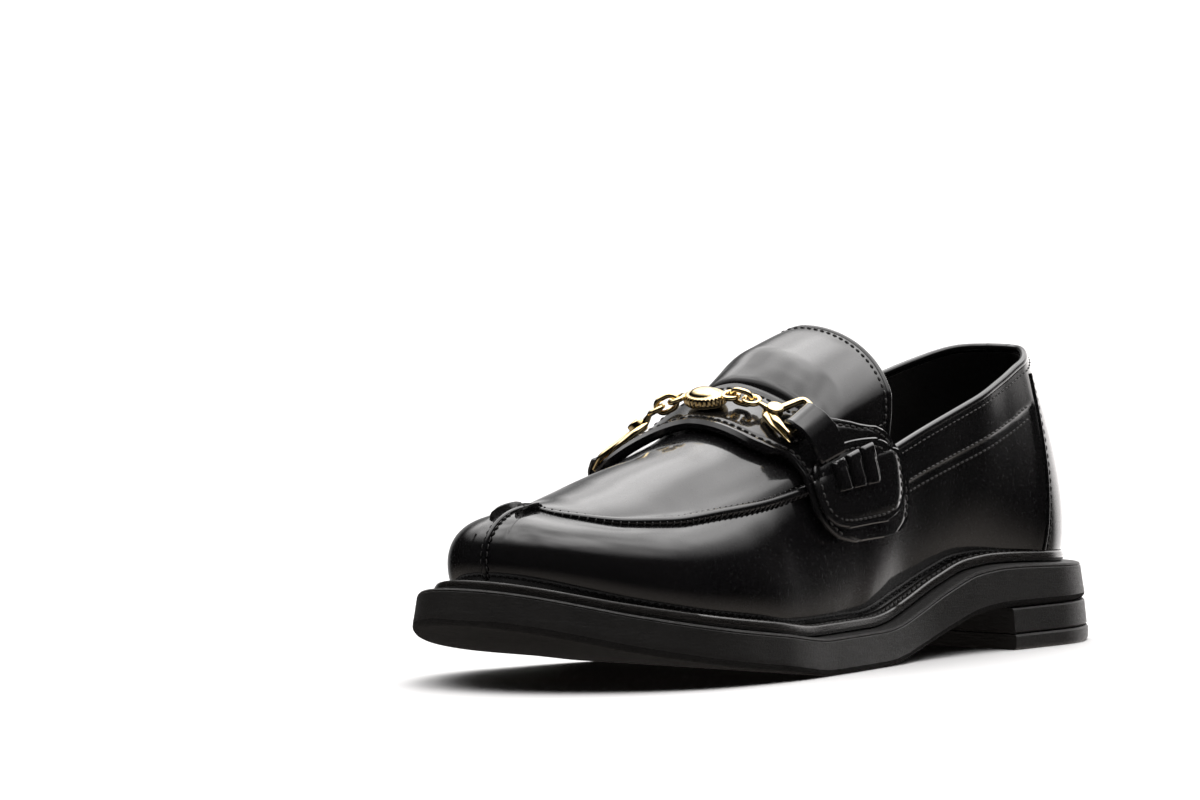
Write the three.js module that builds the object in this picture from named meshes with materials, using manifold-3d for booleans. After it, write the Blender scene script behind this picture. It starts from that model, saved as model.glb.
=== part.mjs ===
// A left dress loafer: thick rubber sole with a low heel, welt, hollow moccasin upper with a split toe,
// apron and raised seam, tongue, saddle with side tabs, and a metal bit across the saddle.
// Millimetres, +Z up, toe towards -Y, outer (lateral) side towards +X, standing on its sole at z = 0.
import * as THREE from "three";
import { mergeVertices } from "three/addons/utils/BufferGeometryUtils.js";
import Module from "manifold-3d";

const wasm = await Module();
wasm.setup();

// Driving sizes
const soleLength = 292;
const ballWidth = 103;
const soleThickness = 11.5;
const heelLift = 13.6;
const heelLength = 63;
const topPieceThickness = 5;
const toeSpring = 20;
const soleFlare = 1.5;
const edgeRound = 1.2;
const heelFlare = 1.2;
const weltThickness = 3.4;
const weltInset = 5.2;
const weltOverlap = 7;
const insoleThickness = 3;
const wallThickness = 2;
const collarRise = 62.7;
const throatShare = 0.545;
const collarBand = 13;
const bandStep = 0.7;
const counterReach = 38;
const seamHeight = 2.2;
const saddleThickness = 1.6;
const tabThickness = 1.4;
const fingerHeight = 1.8;
const fingerWidth = 5.6;
const fingerPitch = 7.15;
const strapThickness = 1.8;
const strapWidth = 11.5;
const tongueThickness = 2.2;
const tongueReach = 115;
const tongueGirth = 1.03;
const tongueCorner = 12;
const bossLength = 17;
const bossWidth = 11;
const bossHeight = 5.4;
const linkWire = 1.8;
const linkLength = 8.6;
const linkWidth = 6.4;
const eyeLength = 6.6;
const barRadius = 1;
const bitThickness = 2.6;
const bitWidth = 4.2;
const spurLength = 9.6;
const spurOffset = 4.8;
const stemLength = 4.3;
const rivetRadius = 2.7;
const gap = 0.3;

// Sections along the sole. at: share of soleLength from the heel's back. The rest: shares of ballWidth.
const planRows = [
  { at: 0, outer: 0.335, inner: 0.335, middle: 0 },
  { at: 0.12, outer: 0.34, inner: 0.335, middle: 0 },
  { at: 0.25, outer: 0.345, inner: 0.315, middle: 0 },
  { at: 0.36, outer: 0.36, inner: 0.295, middle: 0 },
  { at: 0.47, outer: 0.412, inner: 0.305, middle: 0 },
  { at: 0.59, outer: 0.475, inner: 0.385, middle: -0.004 },
  { at: 0.7, outer: 0.52, inner: 0.455, middle: -0.01 },
  { at: 0.8, outer: 0.525, inner: 0.475, middle: -0.024 },
  { at: 1, outer: 0.46, inner: 0.44, middle: -0.05 },
];
const heelRounding = { share: 0.125, power: 2.1 };
const toeRounding = { share: 0.24, power: 2.2 };

// The sole seen from the side. heel, toe, thick: shares of heelLift, toeSpring and soleThickness.
const profileRows = [
  { at: 0, heel: 1, toe: 0, thick: 0.95 },
  { at: 0.1, heel: 1, toe: 0, thick: 1.08 },
  { at: 0.22, heel: 1, toe: 0, thick: 1.19 },
  { at: 0.27, heel: 0.93, toe: 0, thick: 1.19 },
  { at: 0.33, heel: 0.64, toe: 0, thick: 1.15 },
  { at: 0.39, heel: 0.3, toe: 0, thick: 1.06 },
  { at: 0.445, heel: 0.06, toe: 0, thick: 1.02 },
  { at: 0.48, heel: 0, toe: 0, thick: 1.02 },
  { at: 0.6, heel: 0, toe: 0, thick: 1.02 },
  { at: 0.7, heel: 0, toe: 0.16, thick: 1.02 },
  { at: 0.8, heel: 0, toe: 0.34, thick: 1.02 },
  { at: 0.9, heel: 0, toe: 0.6, thick: 1.02 },
  { at: 1, heel: 0, toe: 1, thick: 1.02 },
];

// The upper. foot, rimOuter, rimInner, bulge, lean: distances inside the sole's edge, as shares of ballWidth.
// rim, crown: shares of collarRise. peak: girth of the arch's highest line, full: power that rounds the arch.
// swell, drop: shares of the wall's height at its two shaping points.
const upperColumns = [
  "at", "foot", "rimOuter", "rimInner", "rim", "crown", "peak", "full", "bulge", "swell", "lean", "drop",
];
const upperRows = [
  [0, 0.064, 0.19, 0.19, 1.045, 0.3, -0.25, 0.5, 0.026, 0.26, 0.075, 0.2],
  [0.045, 0.062, 0.18, 0.18, 1.032, 0.33, -0.25, 0.5, 0.028, 0.26, 0.062, 0.25],
  [0.12, 0.066, 0.138, 0.138, 0.97, 0.38, -0.25, 0.5, 0.035, 0.28, 0.05, 0.34],
  [0.18, 0.072, 0.098, 0.09, 0.886, 0.43, -0.25, 0.5, 0.045, 0.3, 0.038, 0.34],
  [0.25, 0.08, 0.06, 0.04, 0.791, 0.49, -0.25, 0.5, 0.055, 0.32, 0.02, 0.34],
  [0.35, 0.086, 0.05, 0, 0.66, 0.53, -0.25, 0.5, 0.058, 0.34, 0.012, 0.32],
  [0.42, 0.09, 0.063, -0.005, 0.56, 0.585, -0.25, 0.5, 0.054, 0.36, 0.018, 0.3],
  [0.47, 0.092, 0.083, 0, 0.5, 0.575, -0.25, 0.5, 0.052, 0.37, 0.024, 0.28],
  [0.5, 0.094, 0.1, 0.02, 0.47, 0.525, -0.24, 0.5, 0.05, 0.38, 0.03, 0.26],
  [0.545, 0.096, 0.125, 0.05, 0.425, 0.415, -0.2, 0.54, 0.049, 0.39, 0.038, 0.24],
  [0.576, 0.097, 0.142, 0.08, 0.389, 0.37, -0.14, 0.6, 0.048, 0.4, 0.045, 0.22],
  [0.64, 0.098, 0.178, 0.135, 0.329, 0.315, -0.05, 0.72, 0.047, 0.42, 0.06, 0.18],
  [0.72, 0.098, 0.208, 0.18, 0.285, 0.25, 0, 0.88, 0.046, 0.44, 0.075, 0.14],
  [0.8, 0.098, 0.223, 0.205, 0.25, 0.182, 0, 1, 0.044, 0.46, 0.088, 0.09],
  [0.88, 0.1, 0.243, 0.235, 0.243, 0.12, 0, 1, 0.042, 0.48, 0.115, 0.04],
  [0.95, 0.106, 0.275, 0.265, 0.272, 0.055, 0, 1, 0.044, 0.52, 0.15, 0.02],
  [1, 0.112, 0.31, 0.31, 0.305, 0, 0, 1, 0.046, 0.54, 0.17, 0.01],
].map((row) => Object.fromEntries(row.map((value, i) => [upperColumns[i], value])));

// The saddle's front and back edges. girth: 0 on the ridge, 1 on the rim, 2 at the foot of the wall.
const saddleRows = [
  { girth: 0, front: 0.626, back: 0.543 },
  { girth: 0.3, front: 0.624, back: 0.544 },
  { girth: 0.55, front: 0.62, back: 0.543 },
  { girth: 0.7, front: 0.61, back: 0.537 },
  { girth: 0.85, front: 0.593, back: 0.508 },
  { girth: 0.95, front: 0.588, back: 0.455 },
  { girth: 1.05, front: 0.587, back: 0.426 },
  { girth: 1.2, front: 0.589, back: 0.418 },
  { girth: 1.33, front: 0.581, back: 0.416 },
  { girth: 1.44, front: 0.562, back: 0.42 },
  { girth: 1.5, front: 0.53, back: 0.437 },
];
// Girth over which laid leather bridges a hollow
const bridge = 0.1;
// Share of the length by which pieces across the ridge run forward on the inner side
const innerSkew = 0.06;
const tabPlace = { at: 0.508, girth: 1.145, reachAt: 0.0755, reachGirth: 0.255, slant: 0.055, power: 3.2 };
const strapPlace = { at: 0.561, lean: 0.061, top: 0.74, bottom: 0.955 };
const fingerPlace = { at: 0.542, top: 0.975, bottom: 1.13 };
// The bit's line over the saddle, and the girth of its boss
const bitRows = [
  { girth: 0, at: 0.594 },
  { girth: 0.2, at: 0.582 },
  { girth: 0.35, at: 0.579 },
  { girth: 0.6, at: 0.567 },
  { girth: 1.2, at: 0.5 },
];
const bossGirth = -0.1;

// Value of one column of a table at x, on a smooth curve that never overshoots its rows.
function column(rows, key, name, x) {
  const last = rows.length - 1;
  const t = Math.min(Math.max(x, rows[0][key]), rows[last][key]);
  let i = 0;
  while (i < last - 1 && rows[i + 1][key] < t) i++;
  const secant = (j) => (rows[j + 1][name] - rows[j][name]) / (rows[j + 1][key] - rows[j][key]);
  const slope = (j) => {
    if (j === 0) return secant(0);
    if (j === last) return secant(last - 1);
    const before = secant(j - 1);
    const after = secant(j);
    return before * after <= 0 ? 0 : (2 * before * after) / (before + after);
  };
  const h = rows[i + 1][key] - rows[i][key];
  const f = (t - rows[i][key]) / h;
  const rise = rows[i][name] * (1 + 2 * f) * (1 - f) ** 2 + rows[i + 1][name] * f * f * (3 - 2 * f);
  return rise + h * (slope(i) * f * (1 - f) ** 2 - slope(i + 1) * f * f * (1 - f));
}
const plan = (name, at) => column(planRows, "at", name, at) * ballWidth;
const upper = (name, at) => column(upperRows, "at", name, at);

// Share of the full width left by the rounded heel and toe.
function rounding(at) {
  const heel = Math.max(0, 1 - at / heelRounding.share);
  const toe = Math.max(0, (at - 1 + toeRounding.share) / toeRounding.share);
  const heelPart = (1 - heel ** heelRounding.power) ** (1 / heelRounding.power);
  return heelPart * (1 - Math.min(1, toe ** toeRounding.power)) ** (1 / toeRounding.power);
}

// Stations from the heel (0) to a last share, closer together towards the rounded ends.
function stations(count, last = 1) {
  const full = Array.from({ length: count + 1 }, (_, i) => (1 - Math.cos((Math.PI * i) / count)) / 2);
  return last === 1 ? full : full.map((_, i) => last * (1 - Math.cos((Math.PI * i) / count / 2)));
}
const soleStations = stations(34);

// A height that runs straight from one station of the sole to the next.
function straightBetween(height) {
  const heights = soleStations.map(height);
  return (at) => {
    const t = Math.min(Math.max(at, 0), 1);
    let i = 0;
    while (i < soleStations.length - 2 && soleStations[i + 1] < t) i++;
    const f = (t - soleStations[i]) / (soleStations[i + 1] - soleStations[i]);
    return heights[i] * (1 - f) + heights[i + 1] * f;
  };
}

// Heights of the outsole's underside and top, and of the welt's top, at a share of the length.
const profile = (name, at) => column(profileRows, "at", name, at);
const soleBottom = straightBetween((at) => heelLift * profile("heel", at) + toeSpring * profile("toe", at));
const soleTop = straightBetween((at) => soleBottom(at) + soleThickness * profile("thick", at));
const weltTop = (at) => soleTop(at) + weltThickness + gap;

// A point of the sole's edge in plan, side +1 outer and -1 inner, moved inside the edge by inset.
function edgeRaw(side, at) {
  const half = plan(side > 0 ? "outer" : "inner", at) * rounding(at);
  return new THREE.Vector2(plan("middle", at) + side * half, (0.5 - at) * soleLength);
}
function edgePoint(side, at, inset = 0) {
  const step = 0.002;
  const point = edgeRaw(side, at);
  const onward = at + step > 1 ? edgeRaw(-side, 2 - at - step) : edgeRaw(side, at + step);
  const behind = at - step < 0 ? edgeRaw(-side, step - at) : edgeRaw(side, at - step);
  const along = onward.sub(behind).normalize();
  const level = Math.min(1, Math.max(0, Math.min((at - 0.13) / 0.07, (0.8 - at) / 0.08)));
  const sideways = level > 0 ? along.y * (1 - level) + level / along.y : along.y;
  return new THREE.Vector2(point.x + side * sideways * inset, point.y - side * along.x * inset * (1 - level));
}
const shareOf = (point) => 0.5 - point.y / soleLength;

// A ring round the sole: along the outer side from heel to toe, and back along the inner side.
// Inset and height may be numbers, or functions of the share of the length.
function ring(places, inset, height) {
  const last = places.length - 1;
  const closedToe = places[last] === 1;
  const valueAt = (value, at) => (typeof value === "number" ? value : value(at));
  const spot = (side, at) => {
    const p = edgePoint(side, at, valueAt(inset, at));
    return new THREE.Vector3(p.x, p.y, valueAt(height, shareOf(p)));
  };
  const outer = places.map((at) => spot(1, at));
  const inner = places.slice(1, closedToe ? last : last + 1).map((at) => spot(-1, at));
  return outer.concat(inner.reverse());
}

// Three.js geometry of a triangle soup given as points and faces.
function geometryOf(points, faces) {
  const geometry = new THREE.BufferGeometry();
  const flat = points.flatMap((p) => [p.x, p.y, p.z]);
  geometry.setAttribute("position", new THREE.Float32BufferAttribute(flat, 3));
  geometry.setIndex(faces.flat());
  return geometry;
}

// Faces of the wall between two rings of equal length.
function bandFaces(lower, upperStart, count) {
  const faces = [];
  for (let i = 0; i < count; i++) {
    const next = (i + 1) % count;
    faces.push([lower + i, upperStart + i, upperStart + next]);
    faces.push([lower + i, upperStart + next, lower + next]);
  }
  return faces;
}

// Faces that close a ring straight across, from the outer side to the inner.
function ladderFaces(start, count, up) {
  const faces = [];
  for (let i = 0, j = count; i + 1 <= j - 1; i++, j--) {
    const left = start + (j % count);
    faces.push([start + i, start + i + 1, left], [start + i + 1, start + j - 1, left]);
  }
  const real = faces.filter((f) => new Set(f).size === 3);
  return up ? real.map((f) => [f[0], f[2], f[1]]) : real;
}

// A solid through rings from the lowest to the highest, closed at both ends.
function loft(rings) {
  const count = rings[0].length;
  const faces = ladderFaces(0, count, false);
  for (let r = 0; r + 1 < rings.length; r++) faces.push(...bandFaces(r * count, (r + 1) * count, count));
  faces.push(...ladderFaces((rings.length - 1) * count, count, true));
  return geometryOf(rings.flat(), faces);
}

// A ring-shaped solid whose section runs through the rings and back to the first.
function hoopLoft(rings) {
  const count = rings[0].length;
  const faces = rings.flatMap((_, r) => bandFaces(r * count, ((r + 1) % rings.length) * count, count));
  return geometryOf(rings.flat(), faces);
}

// A point of the upper's outside. girth: 2 outer foot, 1 outer rim, 0 middle, -1 inner rim, -2 inner foot.
function rimPoint(side, at) {
  const inset = upper(side > 0 ? "rimOuter" : "rimInner", at) * ballWidth;
  const p = edgePoint(side, at, inset);
  const base = weltTop(0) * (1 - at) + weltTop(1) * at;
  return new THREE.Vector3(p.x, p.y, base + upper("rim", at) * collarRise);
}
function lastPoint(at, girth) {
  const side = girth >= 0 ? 1 : -1;
  const reach = Math.abs(girth);
  if (reach <= 1) {
    const across = rimPoint(-1, at).lerp(rimPoint(1, at), (girth + 1) / 2);
    const peak = upper("peak", at);
    const flank = Math.min(1, Math.abs(girth - peak) / (girth > peak ? 1 - peak : 1 + peak));
    across.z += upper("crown", at) * collarRise * (1 - flank * flank) ** upper("full", at);
    return across;
  }
  const v = 2 - reach;
  const foot = upper("foot", at) * ballWidth;
  const rim = rimPoint(side, at);
  const rimInset = upper(side > 0 ? "rimOuter" : "rimInner", at) * ballWidth;
  const low = weltTop(shareOf(edgePoint(side, at, foot))) + gap;
  const tall = rim.z - low;
  const weights = [(1 - v) ** 3, 3 * v * (1 - v) ** 2, 3 * v * v * (1 - v), v ** 3];
  const swollen = foot - upper("bulge", at) * ballWidth;
  const insets = [foot, swollen, rimInset - upper("lean", at) * ballWidth, rimInset];
  const heights = [low, low + upper("swell", at) * tall, rim.z - upper("drop", at) * tall, rim.z];
  const blend = (values) => weights.reduce((sum, w, i) => sum + w * values[i], 0);
  const p = edgePoint(side, at, blend(insets));
  return new THREE.Vector3(p.x, p.y, blend(heights));
}

// The same surface as leather laid over it takes it, bridging its hollows
function laidPoint(at, girth) {
  const point = lastPoint(at, girth).multiplyScalar(2);
  return point.add(lastPoint(at, girth - bridge)).add(lastPoint(at, girth + bridge)).divideScalar(4);
}
function laidNormal(at, girth) {
  const inside = Math.min(at, 0.985);
  const along = laidPoint(inside + 0.006, girth).sub(laidPoint(inside - 0.006, girth));
  return along.cross(laidPoint(inside, girth + 0.03).sub(laidPoint(inside, girth - 0.03))).normalize();
}
function raised(at, girth, height) {
  return laidPoint(at, girth).addScaledVector(laidNormal(at, girth), height);
}

// A closed solid from a sheet of faces: the sheet pushed out by one height and in by another.
function sheetSolid(points, normals, faces, outer, inner) {
  const count = points.length;
  const top = points.map((p, i) => p.clone().addScaledVector(normals[i], outer(i)));
  const low = points.map((p, i) => p.clone().addScaledVector(normals[i], inner(i)));
  const edges = new Map();
  for (const f of faces)
    f.forEach((a, i) => {
      const b = f[(i + 1) % 3];
      edges.has(b + "_" + a) ? edges.delete(b + "_" + a) : edges.set(a + "_" + b, [a, b]);
    });
  const sides = [...edges.values()].flatMap(([a, b]) => [
    [b, a, a + count],
    [b, a + count, b + count],
  ]);
  const under = faces.map((f) => [f[0] + count, f[2] + count, f[1] + count]);
  return geometryOf(top.concat(low), [...faces, ...under, ...sides]);
}

// Faces of a grid of rows, each with the same number of points.
function gridFaces(rows, columns) {
  const faces = [];
  for (let r = 0; r + 1 < rows; r++)
    for (let c = 0; c + 1 < columns; c++) {
      const i = r * columns + c;
      faces.push([i, i + 1, i + columns + 1], [i, i + columns + 1, i + columns]);
    }
  return faces;
}

// Average normals of a sheet's points.
function sheetNormals(points, faces) {
  const normals = points.map(() => new THREE.Vector3());
  for (const [a, b, c] of faces) {
    const n = points[b].clone().sub(points[a]).cross(points[c].clone().sub(points[a]));
    for (const i of [a, b, c]) normals[i].add(n);
  }
  return normals.map((n) => n.normalize());
}

const model = new THREE.Group();
const leather = { color: 0x0b0b0c, roughness: 0.16, metalness: 0 };
const dullLeather = { color: 0x151414, roughness: 0.6, metalness: 0 };
const rubber = { color: 0x1b1a19, roughness: 0.75, metalness: 0 };
const gold = { color: 0xd9b25a, roughness: 0.15, metalness: 1 };
function addPiece(name, geometry, finish) {
  const mesh = new THREE.Mesh(geometry, new THREE.MeshStandardMaterial(finish));
  mesh.name = name;
  model.add(mesh);
}

// Sole: outsole, heel block, top piece, welt and insole
const heelShare = heelLength / soleLength;
const heelStations = stations(9, heelShare);

function outsole() {
  const under = (at) => soleBottom(at);
  return loft([
    ring(soleStations, edgeRound - soleFlare, under),
    ring(soleStations, -soleFlare, (at) => under(at) + edgeRound),
    ring(soleStations, 0, (at) => soleTop(at) - edgeRound / 2),
    ring(soleStations, edgeRound / 2, soleTop),
  ]);
}
function heelBlock() {
  const flare = (z) => -soleFlare - heelFlare * (1 - z / heelLift);
  return loft([
    ring(heelStations, flare(topPieceThickness), topPieceThickness + gap),
    ring(heelStations, flare(heelLift), (at) => soleBottom(at) - gap),
  ]);
}
function topPiece() {
  const flare = -soleFlare - heelFlare;
  return loft([
    ring(heelStations, flare + edgeRound / 2, 0),
    ring(heelStations, flare, edgeRound / 2),
    ring(heelStations, flare, topPieceThickness),
  ]);
}
const weltHole = (at) => upper("foot", at) * ballWidth + weltOverlap;
function welt() {
  const low = (at) => soleTop(at) + gap;
  return hoopLoft([
    ring(soleStations, () => weltInset + edgeRound / 2, low),
    ring(soleStations, () => weltInset, (at) => low(at) + weltThickness / 2),
    ring(soleStations, () => weltInset + edgeRound / 2, weltTop),
    ring(soleStations, weltHole, weltTop),
    ring(soleStations, weltHole, low),
  ]);
}
function insole() {
  const plug = (at) => weltHole(at) + gap;
  const board = (at) => upper("foot", at) * ballWidth + wallThickness + 2 * gap;
  const shelf = (at) => weltTop(at) + gap;
  return loft([
    ring(soleStations, plug, (at) => soleTop(at) + gap),
    ring(soleStations, plug, shelf),
    ring(soleStations, board, shelf),
    ring(soleStations, board, (at) => shelf(at) + insoleThickness),
  ]);
}

// Upper: one wall from the welt to the rim all round, closed over the forefoot by the apron
function upperShell() {
  const counterShare = counterReach / soleLength;
  const places = [...soleStations, counterShare, counterShare + 0.006, throatShare]
    .sort((a, b) => a - b)
    .filter((at, i, all) => i === 0 || at - all[i - 1] > 0.0019 || at === throatShare);
  const last = places.length - 1;
  const throat = places.indexOf(throatShare);
  const wallRows = 8;
  const points = [];
  const keys = new Map();
  const spots = [];
  const put = (name, at, girth) => {
    if (!keys.has(name)) {
      keys.set(name, points.length);
      points.push(lastPoint(at, girth));
      spots.push({ at, girth });
    }
    return keys.get(name);
  };
  const bandShare = (at, side) => {
    const tall = lastPoint(at, side).distanceTo(lastPoint(at, side * 2));
    return Math.min(0.45, collarBand / tall);
  };
  const wallGirth = (at, side, row) => {
    const band = bandShare(at, side);
    const below = [0, 0.13, 0.27, 0.42, 0.58, 0.76, 0.98, 1];
    const up = row === wallRows ? 1 : below[row] * (1 - band);
    return side * (2 - up);
  };
  const wallPoint = (k, side, row) => {
    const single = k === 0 || k === last;
    const name = "w" + k + "_" + (single ? 1 : side) + "_" + row;
    return put(name, places[k], wallGirth(places[k], single ? 1 : side, row));
  };
  const apronColumns = 12;
  const apronPoint = (k, c) => {
    if (k === last || c === 0) return wallPoint(k, 1, wallRows);
    if (c === apronColumns) return wallPoint(k, -1, wallRows);
    return put("a" + k + "_" + c, places[k], 1 - (2 * c) / apronColumns);
  };
  const faces = [];
  const quad = (a, b, c, d) => {
    faces.push(...[[a, b, c], [a, c, d]].filter((f) => new Set(f).size === 3));
  };
  for (let k = 0; k < last; k++)
    for (let row = 0; row < wallRows; row++) {
      const outer = [wallPoint(k, 1, row), wallPoint(k + 1, 1, row)];
      const outerNext = [wallPoint(k, 1, row + 1), wallPoint(k + 1, 1, row + 1)];
      const inner = [wallPoint(k, -1, row), wallPoint(k + 1, -1, row)];
      const innerNext = [wallPoint(k, -1, row + 1), wallPoint(k + 1, -1, row + 1)];
      quad(outer[0], outerNext[0], outerNext[1], outer[1]);
      quad(inner[0], inner[1], innerNext[1], innerNext[0]);
    }
  for (let k = throat; k < last; k++)
    for (let c = 0; c < apronColumns; c++)
      quad(apronPoint(k, c), apronPoint(k, c + 1), apronPoint(k + 1, c + 1), apronPoint(k + 1, c));
  const normals = sheetNormals(points, faces);
  normals.filter((_, i) => Math.abs(spots[i].girth) > 1.999).forEach((n) => n.setZ(0).normalize());
  const stepAt = (i) => {
    const { at, girth } = spots[i];
    const reach = Math.abs(girth);
    const onWall = reach >= 1;
    const bandGirth = 1 + bandShare(at, girth >= 0 ? 1 : -1) + 1e-6;
    const inBand = onWall && at < tabPlace.at && reach <= bandGirth;
    const onCounter = onWall && at <= counterShare + 1e-6;
    const onSeam = at > throatShare - 0.01 && Math.abs(reach - 1) < 1e-6;
    const onToeSeam = onWall && at === 1;
    if (onSeam || (onToeSeam && reach < 1.999)) return seamHeight;
    return inBand || onCounter ? bandStep : 0;
  };
  return sheetSolid(points, normals, faces, stepAt, () => -wallThickness);
}

// Tongue: the apron's arch carried back over the throat, rounded at its end
function tongue() {
  const rows = 12;
  const columns = 14;
  const root = throatShare + 0.045;
  const end = tongueReach / soleLength;
  const points = [];
  for (let r = 0; r <= rows; r++)
    for (let c = 0; c <= columns; c++) {
      const u = 1 - (2 * c) / columns;
      const curl = (tongueCorner / soleLength) * (1 - (1 - Math.abs(u) ** 3) ** (1 / 3));
      const at = root + ((end + curl - root) * r) / rows;
      points.push(lastPoint(at, u * (at > throatShare - 0.01 ? 0.86 : tongueGirth)));
    }
  const faces = gridFaces(rows + 1, columns + 1).map((f) => [f[0], f[2], f[1]]);
  const normals = sheetNormals(points, faces);
  const under = -wallThickness - 2 * gap;
  const lift = (i) => {
    const beforeThroat = (shareOf(points[i]) - throatShare) / 0.012 + 2;
    const atSide = (Math.abs(1 - (2 * (i % (columns + 1))) / columns) - 0.83) / 0.13;
    return under * Math.min(1, Math.max(0, beforeThroat, atSide));
  };
  return sheetSolid(points, normals, faces, lift, (i) => lift(i) - tongueThickness);
}

// A piece of leather laid over the last at a height, on a grid of places
function patch(rows, columns, placeAt, height, thickness) {
  const points = [];
  for (let r = 0; r <= rows; r++)
    for (let c = 0; c <= columns; c++) points.push(laidPoint(...placeAt(r / rows, c / columns)));
  const faces = gridFaces(rows + 1, columns + 1);
  const normals = sheetNormals(points, faces);
  return sheetSolid(points, normals, faces, () => height + thickness, () => height);
}

// Saddle: a band over the ridge that widens into a panel on each side
const saddleHeight = seamHeight + 2 * gap;
const forward = (girth) => (girth < 0 ? innerSkew * Math.sin((Math.PI / 2) * Math.min(1, -girth)) ** 2 : 0);
// Girth on one side. The bit's middle lies inward of girth 0, so the inner side's pieces hang lower.
const innerDrop = -2 * bossGirth;
function onSide(side, girth) {
  return side > 0 ? girth : -girth - innerDrop * Math.min(1, girth / strapPlace.top);
}
function fromMiddle(girth) {
  if (girth >= 0) return girth;
  return Math.max(-girth - innerDrop, -girth / (1 + innerDrop / strapPlace.top));
}
function saddle() {
  const most = saddleRows[saddleRows.length - 1].girth;
  const place = (r, c) => {
    const reach = most * Math.abs(1 - 2 * r);
    const girth = onSide(r <= 0.5 ? 1 : -1, reach);
    const front = column(saddleRows, "girth", "front", reach);
    const back = column(saddleRows, "girth", "back", reach);
    return [front + (back - front) * c + forward(girth), girth];
  };
  return patch(32, 8, place, saddleHeight, saddleThickness);
}

// Side tabs, and the raised leather fingers on them
const tabHeight = saddleHeight + saddleThickness + gap;
function tab(side) {
  const place = (r, c) => {
    const u = 1 - 2 * r;
    const v = 1 - 2 * c;
    const width = v * Math.max(0.5, (1 - Math.abs(u) ** tabPlace.power) ** (1 / tabPlace.power));
    const slant = tabPlace.slant * (1 - width) * Math.max(0, u) ** 2;
    const girth = tabPlace.girth - tabPlace.reachGirth * u + slant;
    return [tabPlace.at + tabPlace.reachAt * width + forward(side), onSide(side, girth)];
  };
  const turned = (r, c) => place(side > 0 ? 1 - r : r, c);
  return patch(10, 10, turned, tabHeight, tabThickness);
}
const fingerBase = tabHeight + tabThickness + gap;
function finger(side, number) {
  const mid = fingerPlace.at - (number * fingerPitch) / soleLength + forward(side);
  const place = (r, c) => {
    const girth = fingerPlace.top + (fingerPlace.bottom - fingerPlace.top) * (side > 0 ? 1 - r : r);
    return [mid + (fingerWidth / soleLength) * (0.5 - c), onSide(side, girth)];
  };
  return patch(4, 2, place, fingerBase, fingerHeight);
}

// Strap: folded over the bit's bar, with its long end on the tab
const foldRadius = barRadius + 2 * gap + strapThickness / 2;
const barHeight = tabHeight + strapThickness / 2 + foldRadius;
const strapShare = (side, across) => strapPlace.at + (strapWidth / soleLength) * across + forward(side);
// Girth that one millimetre takes round the saddle at the fold
function foldScale(side) {
  const reach = (girth) => laidPoint(strapShare(side, 0), onSide(side, girth));
  return 0.1 / reach(strapPlace.top - 0.1).distanceTo(reach(strapPlace.top));
}
function strap(side) {
  const route = [];
  const top = strapPlace.top;
  const deep = barHeight - foldRadius;
  route.push([top + 0.05, deep]);
  route.push([top + 0.015, deep]);
  const turns = 5;
  for (let i = 0; i <= turns; i++) {
    const turn = (Math.PI * i) / turns;
    const girth = top - foldRadius * Math.sin(turn) * foldScale(side);
    route.push([girth, barHeight - foldRadius * Math.cos(turn)]);
  }
  const over = barHeight + foldRadius;
  const laid = fingerBase + strapThickness / 2 + gap;
  route.push([top + 0.05, over]);
  route.push([top + 0.11, (over * 2 + laid) / 3]);
  route.push([strapPlace.bottom - 0.06, (over + laid * 3) / 4]);
  route.push([strapPlace.bottom, laid]);
  const columns = 4;
  const points = [];
  for (const [girth, height] of route)
    for (let c = 0; c <= columns; c++) {
      const drift = strapPlace.lean * Math.max(0, girth - top);
      points.push(raised(strapShare(side, 0.5 - c / columns) - drift, onSide(side, girth), height));
    }
  const flip = side > 0;
  const faces = gridFaces(route.length, columns + 1).map((f) => (flip ? f : [f[0], f[2], f[1]]));
  const normals = sheetNormals(points, faces);
  return sheetSolid(points, normals, faces, () => strapThickness / 2, () => -strapThickness / 2);
}

// Metal bit: a domed boss on the ridge, a link each side, and end pieces held by the straps
const bitHeight = saddleHeight + saddleThickness + gap;
const chainHeight = bitHeight + linkWidth / 2 + gap;
const chainEnd = 1.2;
const chainSteps = 24;
const chainGirths = Array.from({ length: chainSteps + 1 }, (_, i) => chainEnd * ((2 * i) / chainSteps - 1));
const chainShare = (girth) => column(bitRows, "girth", "at", fromMiddle(girth)) + forward(girth);
const chainCurve = new THREE.CatmullRomCurve3(
  chainGirths.map((girth) => raised(chainShare(girth), girth, chainHeight)),
);
const chainLengths = chainCurve.getLengths(240);
const chainOrigin = chainLengths[Math.round(((bossGirth + chainEnd) / (2 * chainEnd)) * 240)];
const chainTurn = (reach) => (chainOrigin + reach) / chainLengths[240];
const chainGirth = (reach) => chainEnd * (2 * chainCurve.getUtoTmapping(chainTurn(reach)) - 1);

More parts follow.
